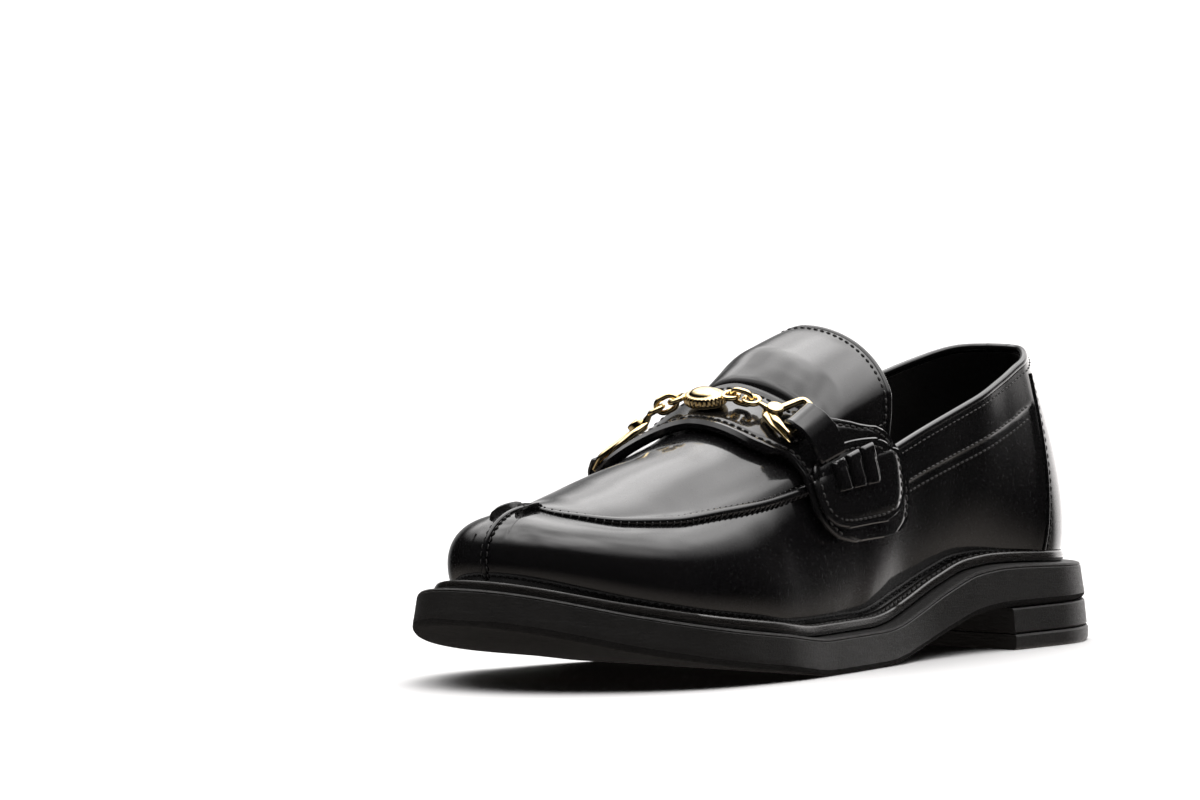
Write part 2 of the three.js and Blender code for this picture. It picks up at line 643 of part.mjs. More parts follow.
// A place along the chain: x along it, y towards the toe, z off the leather, at a height above the last
function bitFrame(reach, height = chainHeight) {
  const x = chainCurve.getTangentAt(chainTurn(reach));
  const girth = chainGirth(reach);
  const up = laidNormal(chainShare(girth), girth);
  const y = up.clone().cross(x).normalize().negate();
  const z = y.clone().cross(x).normalize();
  const origin = chainCurve.getPointAt(chainTurn(reach)).addScaledVector(z, height - chainHeight);
  return new THREE.Matrix4().makeBasis(x, y.clone().negate(), z).setPosition(origin);
}
function ovalRing(length, width, wire) {
  const straight = (length - width) / 2;
  const radius = (width - wire) / 2;
  const points = [];
  for (let i = 0; i < 14; i++) {
    const turn = (2 * Math.PI * i) / 14;
    const shift = Math.sign(Math.cos(turn)) * straight;
    points.push(new THREE.Vector3(Math.cos(turn) * radius + shift, Math.sin(turn) * radius, 0));
  }
  const loop = new THREE.CatmullRomCurve3(points, true, "catmullrom", 0.5);
  return new THREE.TubeGeometry(loop, 16, wire / 2, 6, true);
}
function dome() {
  const profile = [
    [0, 0],
    [0.86, 0],
    [1, 0.14],
    [1, 0.6],
    [0.88, 0.74],
    [0.62, 0.8],
    [0.55, 0.94],
    [0.3, 1],
    [0, 1],
  ].map(([r, z]) => new THREE.Vector2(r, z));
  return new THREE.LatheGeometry(profile, 20)
    .rotateX(Math.PI / 2)
    .scale(bossLength / 2, bossWidth / 2, bossHeight);
}
function rod(points, radii, flat = 1) {
  const sides = 6;
  const rings = points.map((p, i) => {
    const ahead = points[Math.min(i + 1, points.length - 1)];
    const behind = points[Math.max(i - 1, 0)];
    const along = ahead.clone().sub(behind).normalize();
    const across = new THREE.Vector3(0, 0, 1).cross(along).normalize();
    const up = along.clone().cross(across);
    return Array.from({ length: sides }, (_, k) => {
      const turn = (-2 * Math.PI * k) / sides;
      return p
        .clone()
        .addScaledVector(across, radii[i] * Math.cos(turn))
        .addScaledVector(up, radii[i] * flat * Math.sin(turn));
    });
  });
  return loft(rings);
}
function solidOf(geometry) {
  const plain = new THREE.BufferGeometry();
  const expanded = geometry.index ? geometry.toNonIndexed() : geometry;
  plain.setAttribute("position", expanded.getAttribute("position"));
  const merged = mergeVertices(plain, 1e-4);
  const index = Array.from(merged.index.array);
  const kept = [];
  for (let i = 0; i < index.length; i += 3) {
    const [a, b, c] = index.slice(i, i + 3);
    if (a !== b && b !== c && a !== c) kept.push(a, b, c);
  }
  const solid = new wasm.Manifold(
    new wasm.Mesh({
      numProp: 3,
      vertProperties: new Float32Array(merged.attributes.position.array),
      triVerts: new Uint32Array(kept),
    }),
  );
  return solid;
}
function joined(geometries) {
  const mesh = wasm.Manifold.union(geometries.map(solidOf)).getMesh();
  const geometry = new THREE.BufferGeometry();
  geometry.setAttribute("position", new THREE.Float32BufferAttribute(mesh.vertProperties, 3));
  geometry.setIndex(Array.from(mesh.triVerts));
  return geometry;
}
const eyeReach = bossLength / 2 + linkWire / 2 + 2 * gap;
const linkPitch = (eyeLength + linkLength) / 2 - 2 * linkWire - gap;
function boss() {
  const eyes = [-1, 1].map((side) =>
    ovalRing(eyeLength, linkWidth, linkWire).applyMatrix4(bitFrame(side * eyeReach)),
  );
  return joined([dome().applyMatrix4(bitFrame(0, bitHeight)), ...eyes]);
}
function link(side) {
  const upright = ovalRing(linkLength, linkWidth, linkWire).rotateX(Math.PI / 2);
  return upright.applyMatrix4(bitFrame(side * (eyeReach + linkPitch)));
}

// End piece: an eye, a stem with a round rivet, a spur towards the toe and a bar through the strap's fold
function bitEnd(side) {
  const start = eyeReach + 2 * linkPitch;
  const level = bitHeight + bitThickness / 2 + gap;
  const crown = Math.abs(chainGirth(side * (start + eyeLength / 2 + stemLength)));
  const crownShare = chainShare(side * crown) - forward(side * crown);
  const half = bitWidth / 2;
  const flat = bitThickness / bitWidth;
  const spot = (down, onward, height) => {
    const girth = side * (crown + down * perMillimetre);
    return raised(crownShare + forward(girth) + onward / soleLength, girth, height);
  };
  const reach = (girth) => laidPoint(chainShare(side * crown), side * girth);
  const perMillimetre = 0.1 / reach(crown - 0.05).distanceTo(reach(crown + 0.05));
  const eye = ovalRing(eyeLength, linkWidth, linkWire).applyMatrix4(bitFrame(side * start));
  const eyeEdge = new THREE.Vector3().applyMatrix4(bitFrame(side * (start + eyeLength / 2 - linkWire / 2)));
  const stemPath = [eyeEdge, spot(-1, 0, level + gap), spot(1, 0, level)];
  const stem = rod(stemPath, [half * 0.5, half * 0.95, half * 1.1], flat);
  const spurPath = [
    [-2, 0.2],
    [0, 0.56],
    [spurLength * 0.42, 0.93],
    [spurLength, 1],
  ].map(([down, share]) => spot(down, spurOffset * share, level));
  const spur = rod(spurPath, [half * 0.7, half, half * 0.85, half * 0.25], flat);
  const beside = (across, before) => {
    const girth = onSide(side, strapPlace.top - before * foldScale(side));
    return raised(strapShare(side, across), girth, barHeight);
  };
  const barReach = 0.5 + (2 * barRadius + 3 * gap) / strapWidth;
  const barPath = [1, 0.4, 0, -0.4, -1].map((share) => beside(share * barReach, 0));
  const bar = rod(barPath, barPath.map(() => barRadius));
  const arm = (turn) => {
    const corner = beside(turn * barReach, foldRadius + strapThickness + gap);
    const places = [spot(0, turn * 0.5, level), corner, beside(turn * barReach, -gap)];
    return rod(places, [half * 0.7, half * 0.5, barRadius]);
  };
  const rivet = new THREE.SphereGeometry(rivetRadius, 10, 6).scale(1, 1, 0.8);
  rivet.translate(...spot(0.5, 0, level + bitThickness / 2 + gap).toArray());
  return joined([eye, stem, spur, arm(1), bar, arm(-1), rivet]);
}

const pieces = [
  ["outsole", outsole(), rubber],
  ["heel_block", heelBlock(), rubber],
  ["heel_top_piece", topPiece(), rubber],
  ["welt", welt(), dullLeather],
  ["insole", insole(), dullLeather],
  ["upper", upperShell(), leather],
  ["tongue", tongue(), leather],
  ["saddle", saddle(), leather],
  ["tab_outer", tab(1), leather],
  ["tab_inner", tab(-1), leather],
  ["finger_outer_1", finger(1, 0), leather],
  ["finger_outer_2", finger(1, 1), leather],
  ["finger_outer_3", finger(1, 2), leather],
  ["finger_inner_1", finger(-1, 0), leather],
  ["finger_inner_2", finger(-1, 1), leather],
  ["finger_inner_3", finger(-1, 2), leather],
  ["strap_outer", strap(1), leather],
  ["strap_inner", strap(-1), leather],
  ["bit_boss", boss(), gold],
  ["bit_link_outer", link(1), gold],
  ["bit_link_inner", link(-1), gold],
  ["bit_end_outer", bitEnd(1), gold],
  ["bit_end_inner", bitEnd(-1), gold],
];
// The middle of the plan lies over the origin
const extent = new THREE.Box3();
for (const [, geometry] of pieces) {
  geometry.computeBoundingBox();
  extent.union(geometry.boundingBox);
}
const middle = extent.getCenter(new THREE.Vector3());
for (const [name, geometry, finish] of pieces) {
  addPiece(name, geometry.translate(-middle.x, -middle.y, 0), finish);
}

export default model;
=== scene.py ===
"""Looks of a left dress loafer: rubber sole, welt, glossy black upper with a raised seam, and a metal bit."""

import logging
import math
from collections.abc import Callable
from dataclasses import dataclass
from enum import Enum

import bpy
import numpy as np
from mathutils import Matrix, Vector


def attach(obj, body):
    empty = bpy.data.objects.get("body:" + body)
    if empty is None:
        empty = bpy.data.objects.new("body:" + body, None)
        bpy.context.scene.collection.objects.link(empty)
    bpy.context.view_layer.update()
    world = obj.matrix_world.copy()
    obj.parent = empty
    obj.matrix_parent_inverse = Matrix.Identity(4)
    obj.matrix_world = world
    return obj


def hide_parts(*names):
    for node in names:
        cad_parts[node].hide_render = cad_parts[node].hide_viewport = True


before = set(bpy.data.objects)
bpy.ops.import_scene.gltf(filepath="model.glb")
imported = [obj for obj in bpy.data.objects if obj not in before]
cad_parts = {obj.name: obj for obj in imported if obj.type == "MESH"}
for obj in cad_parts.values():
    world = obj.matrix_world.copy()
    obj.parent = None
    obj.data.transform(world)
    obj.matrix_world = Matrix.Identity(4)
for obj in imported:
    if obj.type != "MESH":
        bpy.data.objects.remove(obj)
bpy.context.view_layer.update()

LOG = logging.getLogger("loafer")
Rows = tuple[dict[str, float], ...]
Triple = tuple[float, float, float]
Height = Callable[[np.ndarray], np.ndarray]
Socket = bpy.types.NodeSocket


class Slot(Enum):
    """Material slots of the record."""

    LEATHER = "black_leather"
    WELT = "welt_leather"
    LINING = "lining_leather"
    RUBBER = "black_rubber"
    GOLD = "polished_gold"


@dataclass(frozen=True)
class Sizes:
    """Driving sizes of the shoe in millimetres."""

    sole_length: float = 292.0
    ball_width: float = 103.0
    sole_thickness: float = 11.5
    heel_lift: float = 13.6
    heel_length: float = 63.0
    top_piece: float = 5.0
    toe_spring: float = 20.0
    sole_flare: float = 1.5
    heel_flare: float = 1.2
    welt_thickness: float = 3.4
    welt_inset: float = 5.2
    welt_overlap: float = 7.0
    insole_thickness: float = 3.0
    wall: float = 2.0
    collar_rise: float = 62.7
    throat: float = 0.545
    collar_band: float = 13.0
    counter_reach: float = 38.0
    seam_height: float = 2.2
    seam_width: float = 3.2
    saddle_thickness: float = 1.6
    tab_thickness: float = 1.4
    finger_height: float = 1.8
    finger_width: float = 5.6
    finger_pitch: float = 7.15
    strap_thickness: float = 1.8
    strap_width: float = 11.5
    tongue_thickness: float = 2.2
    tongue_reach: float = 115.0
    tongue_girth: float = 1.03
    tongue_corner: float = 12.0
    boss_length: float = 17.0
    boss_width: float = 11.0
    boss_height: float = 5.4
    wire: float = 1.8
    link_length: float = 8.6
    link_width: float = 6.4
    eye_length: float = 6.6
    bar_radius: float = 1.0
    bit_thickness: float = 2.6
    bit_width: float = 4.2
    spur_length: float = 9.6
    spur_offset: float = 4.8
    stem_length: float = 4.3
    rivet_radius: float = 2.7
    stitch_pitch: float = 2.65
    gap: float = 0.3


SIZES = Sizes()

PLAN: Rows = (
    dict(at=0, outer=0.335, inner=0.335, middle=0),
    dict(at=0.12, outer=0.34, inner=0.335, middle=0),
    dict(at=0.25, outer=0.345, inner=0.315, middle=0),
    dict(at=0.36, outer=0.36, inner=0.295, middle=0),
    dict(at=0.47, outer=0.412, inner=0.305, middle=0),
    dict(at=0.59, outer=0.475, inner=0.385, middle=-0.004),
    dict(at=0.7, outer=0.52, inner=0.455, middle=-0.01),
    dict(at=0.8, outer=0.525, inner=0.475, middle=-0.024),
    dict(at=1, outer=0.46, inner=0.44, middle=-0.05),
)
HEEL_ROUND = (0.125, 2.1)
TOE_ROUND = (0.24, 2.2)
PROFILE: Rows = (
    dict(at=0, heel=1, toe=0, thick=0.95),
    dict(at=0.1, heel=1, toe=0, thick=1.08),
    dict(at=0.22, heel=1, toe=0, thick=1.19),
    dict(at=0.27, heel=0.93, toe=0, thick=1.19),
    dict(at=0.33, heel=0.64, toe=0, thick=1.15),
    dict(at=0.39, heel=0.3, toe=0, thick=1.06),
    dict(at=0.445, heel=0.06, toe=0, thick=1.02),
    dict(at=0.48, heel=0, toe=0, thick=1.02),
    dict(at=0.6, heel=0, toe=0, thick=1.02),
    dict(at=0.7, heel=0, toe=0.16, thick=1.02),
    dict(at=0.8, heel=0, toe=0.34, thick=1.02),
    dict(at=0.9, heel=0, toe=0.6, thick=1.02),
    dict(at=1, heel=0, toe=1, thick=1.02),
)
UPPER_KEYS = (
    "at", "foot", "rimOuter", "rimInner", "rim", "crown", "peak", "full", "bulge", "swell", "lean", "drop",
)
UPPER: Rows = tuple(
    dict(zip(UPPER_KEYS, row))
    for row in (
        (0, 0.064, 0.19, 0.19, 1.045, 0.3, -0.25, 0.5, 0.026, 0.26, 0.075, 0.2),
        (0.045, 0.062, 0.18, 0.18, 1.032, 0.33, -0.25, 0.5, 0.028, 0.26, 0.062, 0.25),
        (0.12, 0.066, 0.138, 0.138, 0.97, 0.38, -0.25, 0.5, 0.035, 0.28, 0.05, 0.34),
        (0.18, 0.072, 0.098, 0.09, 0.886, 0.43, -0.25, 0.5, 0.045, 0.3, 0.038, 0.34),
        (0.25, 0.08, 0.06, 0.04, 0.791, 0.49, -0.25, 0.5, 0.055, 0.32, 0.02, 0.34),
        (0.35, 0.086, 0.05, 0, 0.66, 0.53, -0.25, 0.5, 0.058, 0.34, 0.012, 0.32),
        (0.42, 0.09, 0.063, -0.005, 0.56, 0.585, -0.25, 0.5, 0.054, 0.36, 0.018, 0.3),
        (0.47, 0.092, 0.083, 0, 0.5, 0.575, -0.25, 0.5, 0.052, 0.37, 0.024, 0.28),
        (0.5, 0.094, 0.1, 0.02, 0.47, 0.525, -0.24, 0.5, 0.05, 0.38, 0.03, 0.26),
        (0.545, 0.096, 0.125, 0.05, 0.425, 0.415, -0.2, 0.54, 0.049, 0.39, 0.038, 0.24),
        (0.576, 0.097, 0.142, 0.08, 0.389, 0.37, -0.14, 0.6, 0.048, 0.4, 0.045, 0.22),
        (0.64, 0.098, 0.178, 0.135, 0.329, 0.315, -0.05, 0.72, 0.047, 0.42, 0.06, 0.18),
        (0.72, 0.098, 0.208, 0.18, 0.285, 0.25, 0, 0.88, 0.046, 0.44, 0.075, 0.14),
        (0.8, 0.098, 0.223, 0.205, 0.25, 0.182, 0, 1, 0.044, 0.46, 0.088, 0.09),
        (0.88, 0.1, 0.243, 0.235, 0.243, 0.12, 0, 1, 0.042, 0.48, 0.115, 0.04),
        (0.95, 0.106, 0.275, 0.265, 0.272, 0.055, 0, 1, 0.044, 0.52, 0.15, 0.02),
        (1, 0.112, 0.31, 0.31, 0.305, 0, 0, 1, 0.046, 0.54, 0.17, 0.01),
    )
)
SADDLE: Rows = (
    dict(girth=0, front=0.626, back=0.543),
    dict(girth=0.3, front=0.624, back=0.544),
    dict(girth=0.55, front=0.62, back=0.543),
    dict(girth=0.7, front=0.61, back=0.537),
    dict(girth=0.85, front=0.593, back=0.508),
    dict(girth=0.95, front=0.588, back=0.455),
    dict(girth=1.05, front=0.587, back=0.426),
    dict(girth=1.2, front=0.589, back=0.418),
    dict(girth=1.33, front=0.581, back=0.416),
    dict(girth=1.44, front=0.562, back=0.42),
    dict(girth=1.5, front=0.53, back=0.437),
)
BIT: Rows = (
    dict(girth=0, at=0.594),
    dict(girth=0.2, at=0.582),
    dict(girth=0.35, at=0.579),
    dict(girth=0.6, at=0.567),
    dict(girth=1.2, at=0.5),
)
OUTSOLE_EDGE = (
    (1.6, 1, 0.0, 0), (0.7, 1, 0.35, 0), (0.1, 1, 1.1, 0), (0, 1, 1.9, 1), (0, 0.9, 2.9, 0), (0, 0.7, 4.4, 0),
    (0, 0.3, 8.4, 0), (0, 0.12, 10.2, 0), (0.22, 0, 10.5, 0), (0, 0, 10.8, 0), (0.35, 0, 11.3, 0),
    (1.1, 0, 11.5, 0), (9.0, 0, 11.5, 0),
)
TOP_PIECE_EDGE = ((0.9, 0), (0.15, 0.7), (0, 1.4), (0, 4.3), (0.5, 4.95))
BOSS_PROFILE = (
    (0, 0), (0.8, 0), (0.9, 0.05), (0.97, 0.16), (1, 0.3), (0.99, 0.42), (0.95, 0.54), (0.9, 0.63),
    (0.84, 0.69), (0.77, 0.72), (0.72, 0.7), (0.67, 0.72), (0.62, 0.8), (0.54, 0.89), (0.44, 0.96),
    (0.32, 1.01), (0.2, 1.035), (0.1, 1.045), (0, 1.05),
)
RIVET_PROFILE = ((1.0, -0.45), (1.0, 0.3), (0.96, 0.42), (0.86, 0.5), (0.6, 0.56), (0.3, 0.59), (0.0, 0.6))
TREAD_BANDS = 3
BAND_STEP = 0.55
APRON_THICKNESS = 1.4
THREAD_LOOK = 1
BRIDGE = 0.1
INNER_SKEW = 0.06
BOSS_GIRTH = -0.1
INNER_DROP = -2 * BOSS_GIRTH
SADDLE_UNDER = 2.2 + 2 * SIZES.gap
BIT_BASE = SADDLE_UNDER + SIZES.saddle_thickness + SIZES.gap
STRAP_AT, STRAP_LEAN, STRAP_TOP, STRAP_BOTTOM = 0.561, 0.061, 0.74, 0.955
FINGER_AT, FINGER_TOP, FINGER_BOTTOM = 0.542, 0.975, 1.13


def column(rows: Rows, key: str, name: str, x: np.ndarray) -> np.ndarray:
    """Value of one column of a table on a smooth curve that never overshoots its rows.

    Args:
        rows: The table.
        key: Column that x belongs to.
        name: Column to read.
        x: Places to read it at.

    Returns:
        The values at x.
    """
    xs = np.array([row[key] for row in rows], float)
    ys = np.array([row[name] for row in rows], float)
    secants = np.diff(ys) / np.diff(xs)
    slopes = np.empty_like(ys)
    slopes[0], slopes[-1] = secants[0], secants[-1]
    before, after = secants[:-1], secants[1:]
    with np.errstate(divide="ignore", invalid="ignore"):
        mean = 2 * before * after / (before + after)
    slopes[1:-1] = np.where(before * after <= 0, 0, mean)
    t = np.clip(x, xs[0], xs[-1])
    i = np.clip(np.searchsorted(xs, t, side="left") - 1, 0, len(xs) - 2)
    h = xs[i + 1] - xs[i]
    f = (t - xs[i]) / h
    rise = ys[i] * (1 + 2 * f) * (1 - f) ** 2 + ys[i + 1] * f * f * (3 - 2 * f)
    return rise + h * (slopes[i] * f * (1 - f) ** 2 - slopes[i + 1] * f * f * (1 - f))


def smooth(x: np.ndarray, low: float, high: float) -> np.ndarray:
    """Smooth step from 0 at low to 1 at high."""
    t = np.clip((x - low) / (high - low), 0, 1)
    return t * t * (3 - 2 * t)


def unit(v: np.ndarray) -> np.ndarray:
    """Vectors scaled to length one."""
    return v / np.maximum(np.linalg.norm(v, axis=-1, keepdims=True), 1e-12)


class Last:
    """The form that every piece of the shoe follows, in millimetres before centring."""

    def __init__(self, sizes: Sizes) -> None:
        """Keeps the sizes and works out the middle of the plan.

        Args:
            sizes: Driving sizes of the shoe.
        """
        self.sizes = sizes
        at = (1 - np.cos(np.pi * np.arange(35) / 34)) / 2
        outer = self.edge(1, at, -sizes.sole_flare)
        inner = self.edge(-1, at, -sizes.sole_flare)
        back = self.edge(1, np.zeros(1), -sizes.sole_flare - sizes.heel_flare)[0, 1]
        toe = outer[-1, 1]
        self.middle = np.array([(outer[:, 0].max() + inner[:, 0].min()) / 2, (back + toe) / 2, 0.0])

    def edge_raw(self, side: np.ndarray, at: np.ndarray) -> np.ndarray:
        """Points of the sole's edge in plan.

        Args:
            side: 1 outer, -1 inner.
            at: Share of the length from the heel's back.

        Returns:
            Points in plan, one row each.
        """
        width = np.where(side > 0, column(PLAN, "at", "outer", at), column(PLAN, "at", "inner", at))
        heel = np.clip(1 - at / HEEL_ROUND[0], 0, 1)
        toe = np.clip((at - 1 + TOE_ROUND[0]) / TOE_ROUND[0], 0, 1)
        ends = (1 - heel ** HEEL_ROUND[1]) ** (1 / HEEL_ROUND[1])
        ends = ends * (1 - toe ** TOE_ROUND[1]) ** (1 / TOE_ROUND[1])
        x = (column(PLAN, "at", "middle", at) + side * width * ends) * self.sizes.ball_width
        return np.stack([x, (0.5 - at) * self.sizes.sole_length], -1)

    def edge(self, side: np.ndarray, at: np.ndarray, inset: np.ndarray) -> np.ndarray:
        """Points of the sole's edge in plan, moved inside it.

        Args:
            side: 1 outer, -1 inner.
            at: Share of the length from the heel's back.
            inset: Distance inside the edge.

        Returns:
            Points in plan, one row each.
        """
        side, at, inset = np.broadcast_arrays(np.asarray(side, float), np.asarray(at, float), inset)
        step = 0.002
        on = np.where(at + step > 1, 2 - at - step, at + step)
        onward = self.edge_raw(np.where(at + step > 1, -side, side), on)
        back = np.where(at - step < 0, step - at, at - step)
        behind = self.edge_raw(np.where(at - step < 0, -side, side), back)
        along = unit(onward - behind)
        level = np.clip(np.minimum((at - 0.13) / 0.07, (0.8 - at) / 0.08), 0, 1)
        y_part = np.where(np.abs(along[..., 1]) < 1e-6, -1.0, along[..., 1])
        sideways = np.where(level > 0, along[..., 1] * (1 - level) + level / y_part, along[..., 1])
        p = self.edge_raw(side, at)
        x = p[..., 0] + side * sideways * inset
        y = p[..., 1] - side * along[..., 0] * inset * (1 - level)
        return np.stack([x, y], -1)

    def share(self, y: np.ndarray) -> np.ndarray:
        """Share of the length of a place in plan."""
        return 0.5 - y / self.sizes.sole_length

    def bottom(self, at: np.ndarray) -> np.ndarray:
        """Height of the outsole's underside."""
        heel = self.sizes.heel_lift * column(PROFILE, "at", "heel", at)
        return heel + self.sizes.toe_spring * column(PROFILE, "at", "toe", at)

    def top(self, at: np.ndarray) -> np.ndarray:
        """Height of the outsole's top."""
        return self.bottom(at) + self.sizes.sole_thickness * column(PROFILE, "at", "thick", at)

    def welt_top(self, at: np.ndarray) -> np.ndarray:
        """Height of the welt's top."""
        return self.top(at) + self.sizes.welt_thickness + self.sizes.gap

    def upper(self, name: str, at: np.ndarray) -> np.ndarray:
        """One column of the upper's table."""
        return column(UPPER, "at", name, at)

    def rim(self, side: np.ndarray, at: np.ndarray) -> np.ndarray:
        """Points of the upper's rim.

        Args:
            side: 1 outer, -1 inner.
            at: Share of the length from the heel's back.

        Returns:
            Points, one row each.
        """
        ball = self.sizes.ball_width
        inset = np.where(side > 0, self.upper("rimOuter", at), self.upper("rimInner", at)) * ball
        p = self.edge(side, at, inset)
        ends = self.welt_top(np.array([0.0, 1.0]))
        z = ends[0] * (1 - at) + ends[1] * at + self.upper("rim", at) * self.sizes.collar_rise
        return np.concatenate([p, z[..., None]], -1)

    def point(self, at: np.ndarray, girth: np.ndarray) -> np.ndarray:
        """Points of the last's surface.

        Args:
            at: Share of the length from the heel's back.
            girth: 2 outer foot, 1 outer rim, 0 ridge, -1 inner rim, -2 inner foot.

        Returns:
            Points, one row each.
        """
        at, girth = np.broadcast_arrays(np.asarray(at, float), np.asarray(girth, float))
        ball = self.sizes.ball_width
        side = np.where(girth >= 0, 1.0, -1.0)
        reach = np.abs(girth)
        outer, inner = self.rim(np.ones_like(at), at), self.rim(-np.ones_like(at), at)
        arch = inner + (outer - inner) * ((np.clip(girth, -1, 1) + 1) / 2)[..., None]
        peak = self.upper("peak", at)
        flank = np.clip(np.abs(girth - peak) / np.where(girth > peak, 1 - peak, 1 + peak), 0, 1)
        crown = self.upper("crown", at) * self.sizes.collar_rise
        arch[..., 2] += crown * (1 - flank * flank) ** self.upper("full", at)
        v = np.clip(2 - reach, 0, 1)
        foot = self.upper("foot", at) * ball
        rim_inset = np.where(side > 0, self.upper("rimOuter", at), self.upper("rimInner", at)) * ball
        high = np.where(side > 0, outer[..., 2], inner[..., 2])
        low = self.welt_top(self.share(self.edge(side, at, foot)[..., 1])) + self.sizes.gap
        tall = high - low
        w = [(1 - v) ** 3, 3 * v * (1 - v) ** 2, 3 * v * v * (1 - v), v**3]
        second = foot - self.upper("bulge", at) * ball
        third = rim_inset - self.upper("lean", at) * ball
        inset = w[0] * foot + w[1] * second + w[2] * third + w[3] * rim_inset
        z = w[0] * low + w[1] * (low + self.upper("swell", at) * tall)
        z = z + w[2] * (high - self.upper("drop", at) * tall) + w[3] * high
        wall = np.concatenate([self.edge(side, at, inset), z[..., None]], -1)
        return np.where((reach <= 1)[..., None], arch, wall)

    def normal(self, at: np.ndarray, girth: np.ndarray) -> np.ndarray:
        """Outward directions of the last's surface.

        Args:
            at: Share of the length from the heel's back.
            girth: Girth, as for a point of the last.

        Returns:
            Directions of length one.
        """
        at, girth = np.broadcast_arrays(np.asarray(at, float), np.asarray(girth, float))
        inside = np.minimum(at, 0.985)
        turn = np.where(girth >= 0, 1.0, -1.0)
        dg = np.where(np.abs(girth) > 1.97, -0.03, 0.03) * turn
        along = self.point(inside + 0.006, girth) - self.point(np.maximum(0.001, inside - 0.006), girth)
        around = self.point(inside, girth + dg) - self.point(inside, girth)
        return unit(np.cross(along, around)) * np.sign(dg)[..., None]

    def raised(self, at: np.ndarray, girth: np.ndarray, height: np.ndarray) -> np.ndarray:
        """Points at a height above the last's surface."""
        return self.point(at, girth) + self.normal(at, girth) * np.asarray(height, float)[..., None]

    def laid(self, at: np.ndarray, girth: np.ndarray) -> np.ndarray:
        """The surface as leather laid over it takes it, bridging its hollows.

        Args:
            at: Share of the length from the heel's back.
            girth: Girth, as for a point of the last.

        Returns:
            Points, one row each.
        """
        at, girth = np.broadcast_arrays(np.asarray(at, float), np.asarray(girth, float))
        sides = self.point(at, girth - BRIDGE) + self.point(at, girth + BRIDGE)
        return (2 * self.point(at, girth) + sides) / 4

    def laid_normal(self, at: np.ndarray, girth: np.ndarray) -> np.ndarray:
        """Outward directions of the laid surface.

        Args:
            at: Share of the length from the heel's back.
            girth: Girth, as for a point of the last.

        Returns:
            Directions of length one.
        """
        at, girth = np.broadcast_arrays(np.asarray(at, float), np.asarray(girth, float))
        inside = np.minimum(at, 0.985)
        along = self.laid(inside + 0.006, girth) - self.laid(inside - 0.006, girth)
        return unit(np.cross(along, self.laid(inside, girth + 0.03) - self.laid(inside, girth - 0.03)))

    def over(self, at: np.ndarray, girth: np.ndarray, height: np.ndarray) -> np.ndarray:
        """Points at a height above the laid surface."""
        return self.laid(at, girth) + self.laid_normal(at, girth) * np.asarray(height, float)[..., None]


LAST = Last(SIZES)


def forward(girth: np.ndarray) -> np.ndarray:
    """Share of the length by which a piece runs forward on the inner side."""
    turn = np.clip(-np.asarray(girth, float), 0, 1)
    return INNER_SKEW * np.sin(math.pi / 2 * turn) ** 2


def on_side(side: float, girth: np.ndarray) -> np.ndarray:
    """Girth on one side; the inner side's pieces hang lower, as far from the bit's middle."""
    girth = np.asarray(girth, float)
    return np.where(np.asarray(side) > 0, girth, -girth - INNER_DROP * np.minimum(1, girth / STRAP_TOP))


def from_middle(girth: np.ndarray) -> np.ndarray:
    """Outer girth that a place of either side matches.

    Args:
        girth: Signed girths.

    Returns:
        Girths of the outer side.
    """
    girth = np.asarray(girth, float)
    inner = np.maximum(-girth - INNER_DROP, -girth / (1 + INNER_DROP / STRAP_TOP))
    return np.where(girth >= 0, girth, inner)


class Draft:
    """A piece under construction: points in millimetres, faces and their materials."""

    def __init__(self) -> None:
        """Starts empty."""
        self.points: list[np.ndarray] = []
        self.faces: list[list[int]] = []
        self.looks: list[int] = []
        self.count = 0

    def add(self, points: np.ndarray, faces: np.ndarray, look: int = 0) -> None:
        """Adds points and faces.

        Args:
            points: Points, one row each.
            faces: Faces as rows of point numbers.
            look: Number of the material.
        """
        flat = np.asarray(points, float).reshape(-1, 3)
        rows = (np.asarray(faces, int) + self.count).tolist()
        self.points.append(flat)
        self.faces.extend(rows)
        self.looks.extend([look] * len(rows))
        self.count += len(flat)

    def sleeve(self, grid: np.ndarray) -> None:
        """Adds a sheet that runs round the shoe and closes on itself both ways.

        Args:
            grid: Points, a row for each ring, from the face over the rim to the flesh side.
        """
        rows, columns = grid.shape[:2]
        k = np.arange(columns)
        onward = (k + 1) % columns
        last = (rows - 1) * columns
        close = np.stack([last + k, last + onward, onward, k], -1)
        self.add(grid, np.concatenate([grid_faces(rows, columns, True), close]))

    def build(
        self, name: str, slot: Slot, looks: list["Finish"], nodes: tuple[str, ...], angle: float = 42
    ) -> None:
        """Makes the Blender object, riding on the shoe.

        Args:
            name: Object name.
            slot: Not used.
            looks: Finishes, in the order of the faces' numbers.
            nodes: CAD nodes that it stands for.
            angle: Edges sharper than this stay sharp, in degrees.
        """
        points = (np.concatenate(self.points) - LAST.middle) * 0.001
        mesh = bpy.data.meshes.new(name)
        mesh.from_pydata(points.tolist(), [], self.faces)
        mesh.polygons.foreach_set("material_index", np.array(self.looks, np.int32))
        mesh.validate()
        mesh.update()
        for look in looks:
            mesh.materials.append(look.material())
        mesh.shade_smooth()
        mesh.set_sharp_from_angle(angle=math.radians(angle))
        piece = bpy.data.objects.new(name, mesh)
        bpy.context.scene.collection.objects.link(piece)
        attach(piece, "root")
        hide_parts(*nodes)
        LOG.info("%s: %d faces", name, len(mesh.polygons))


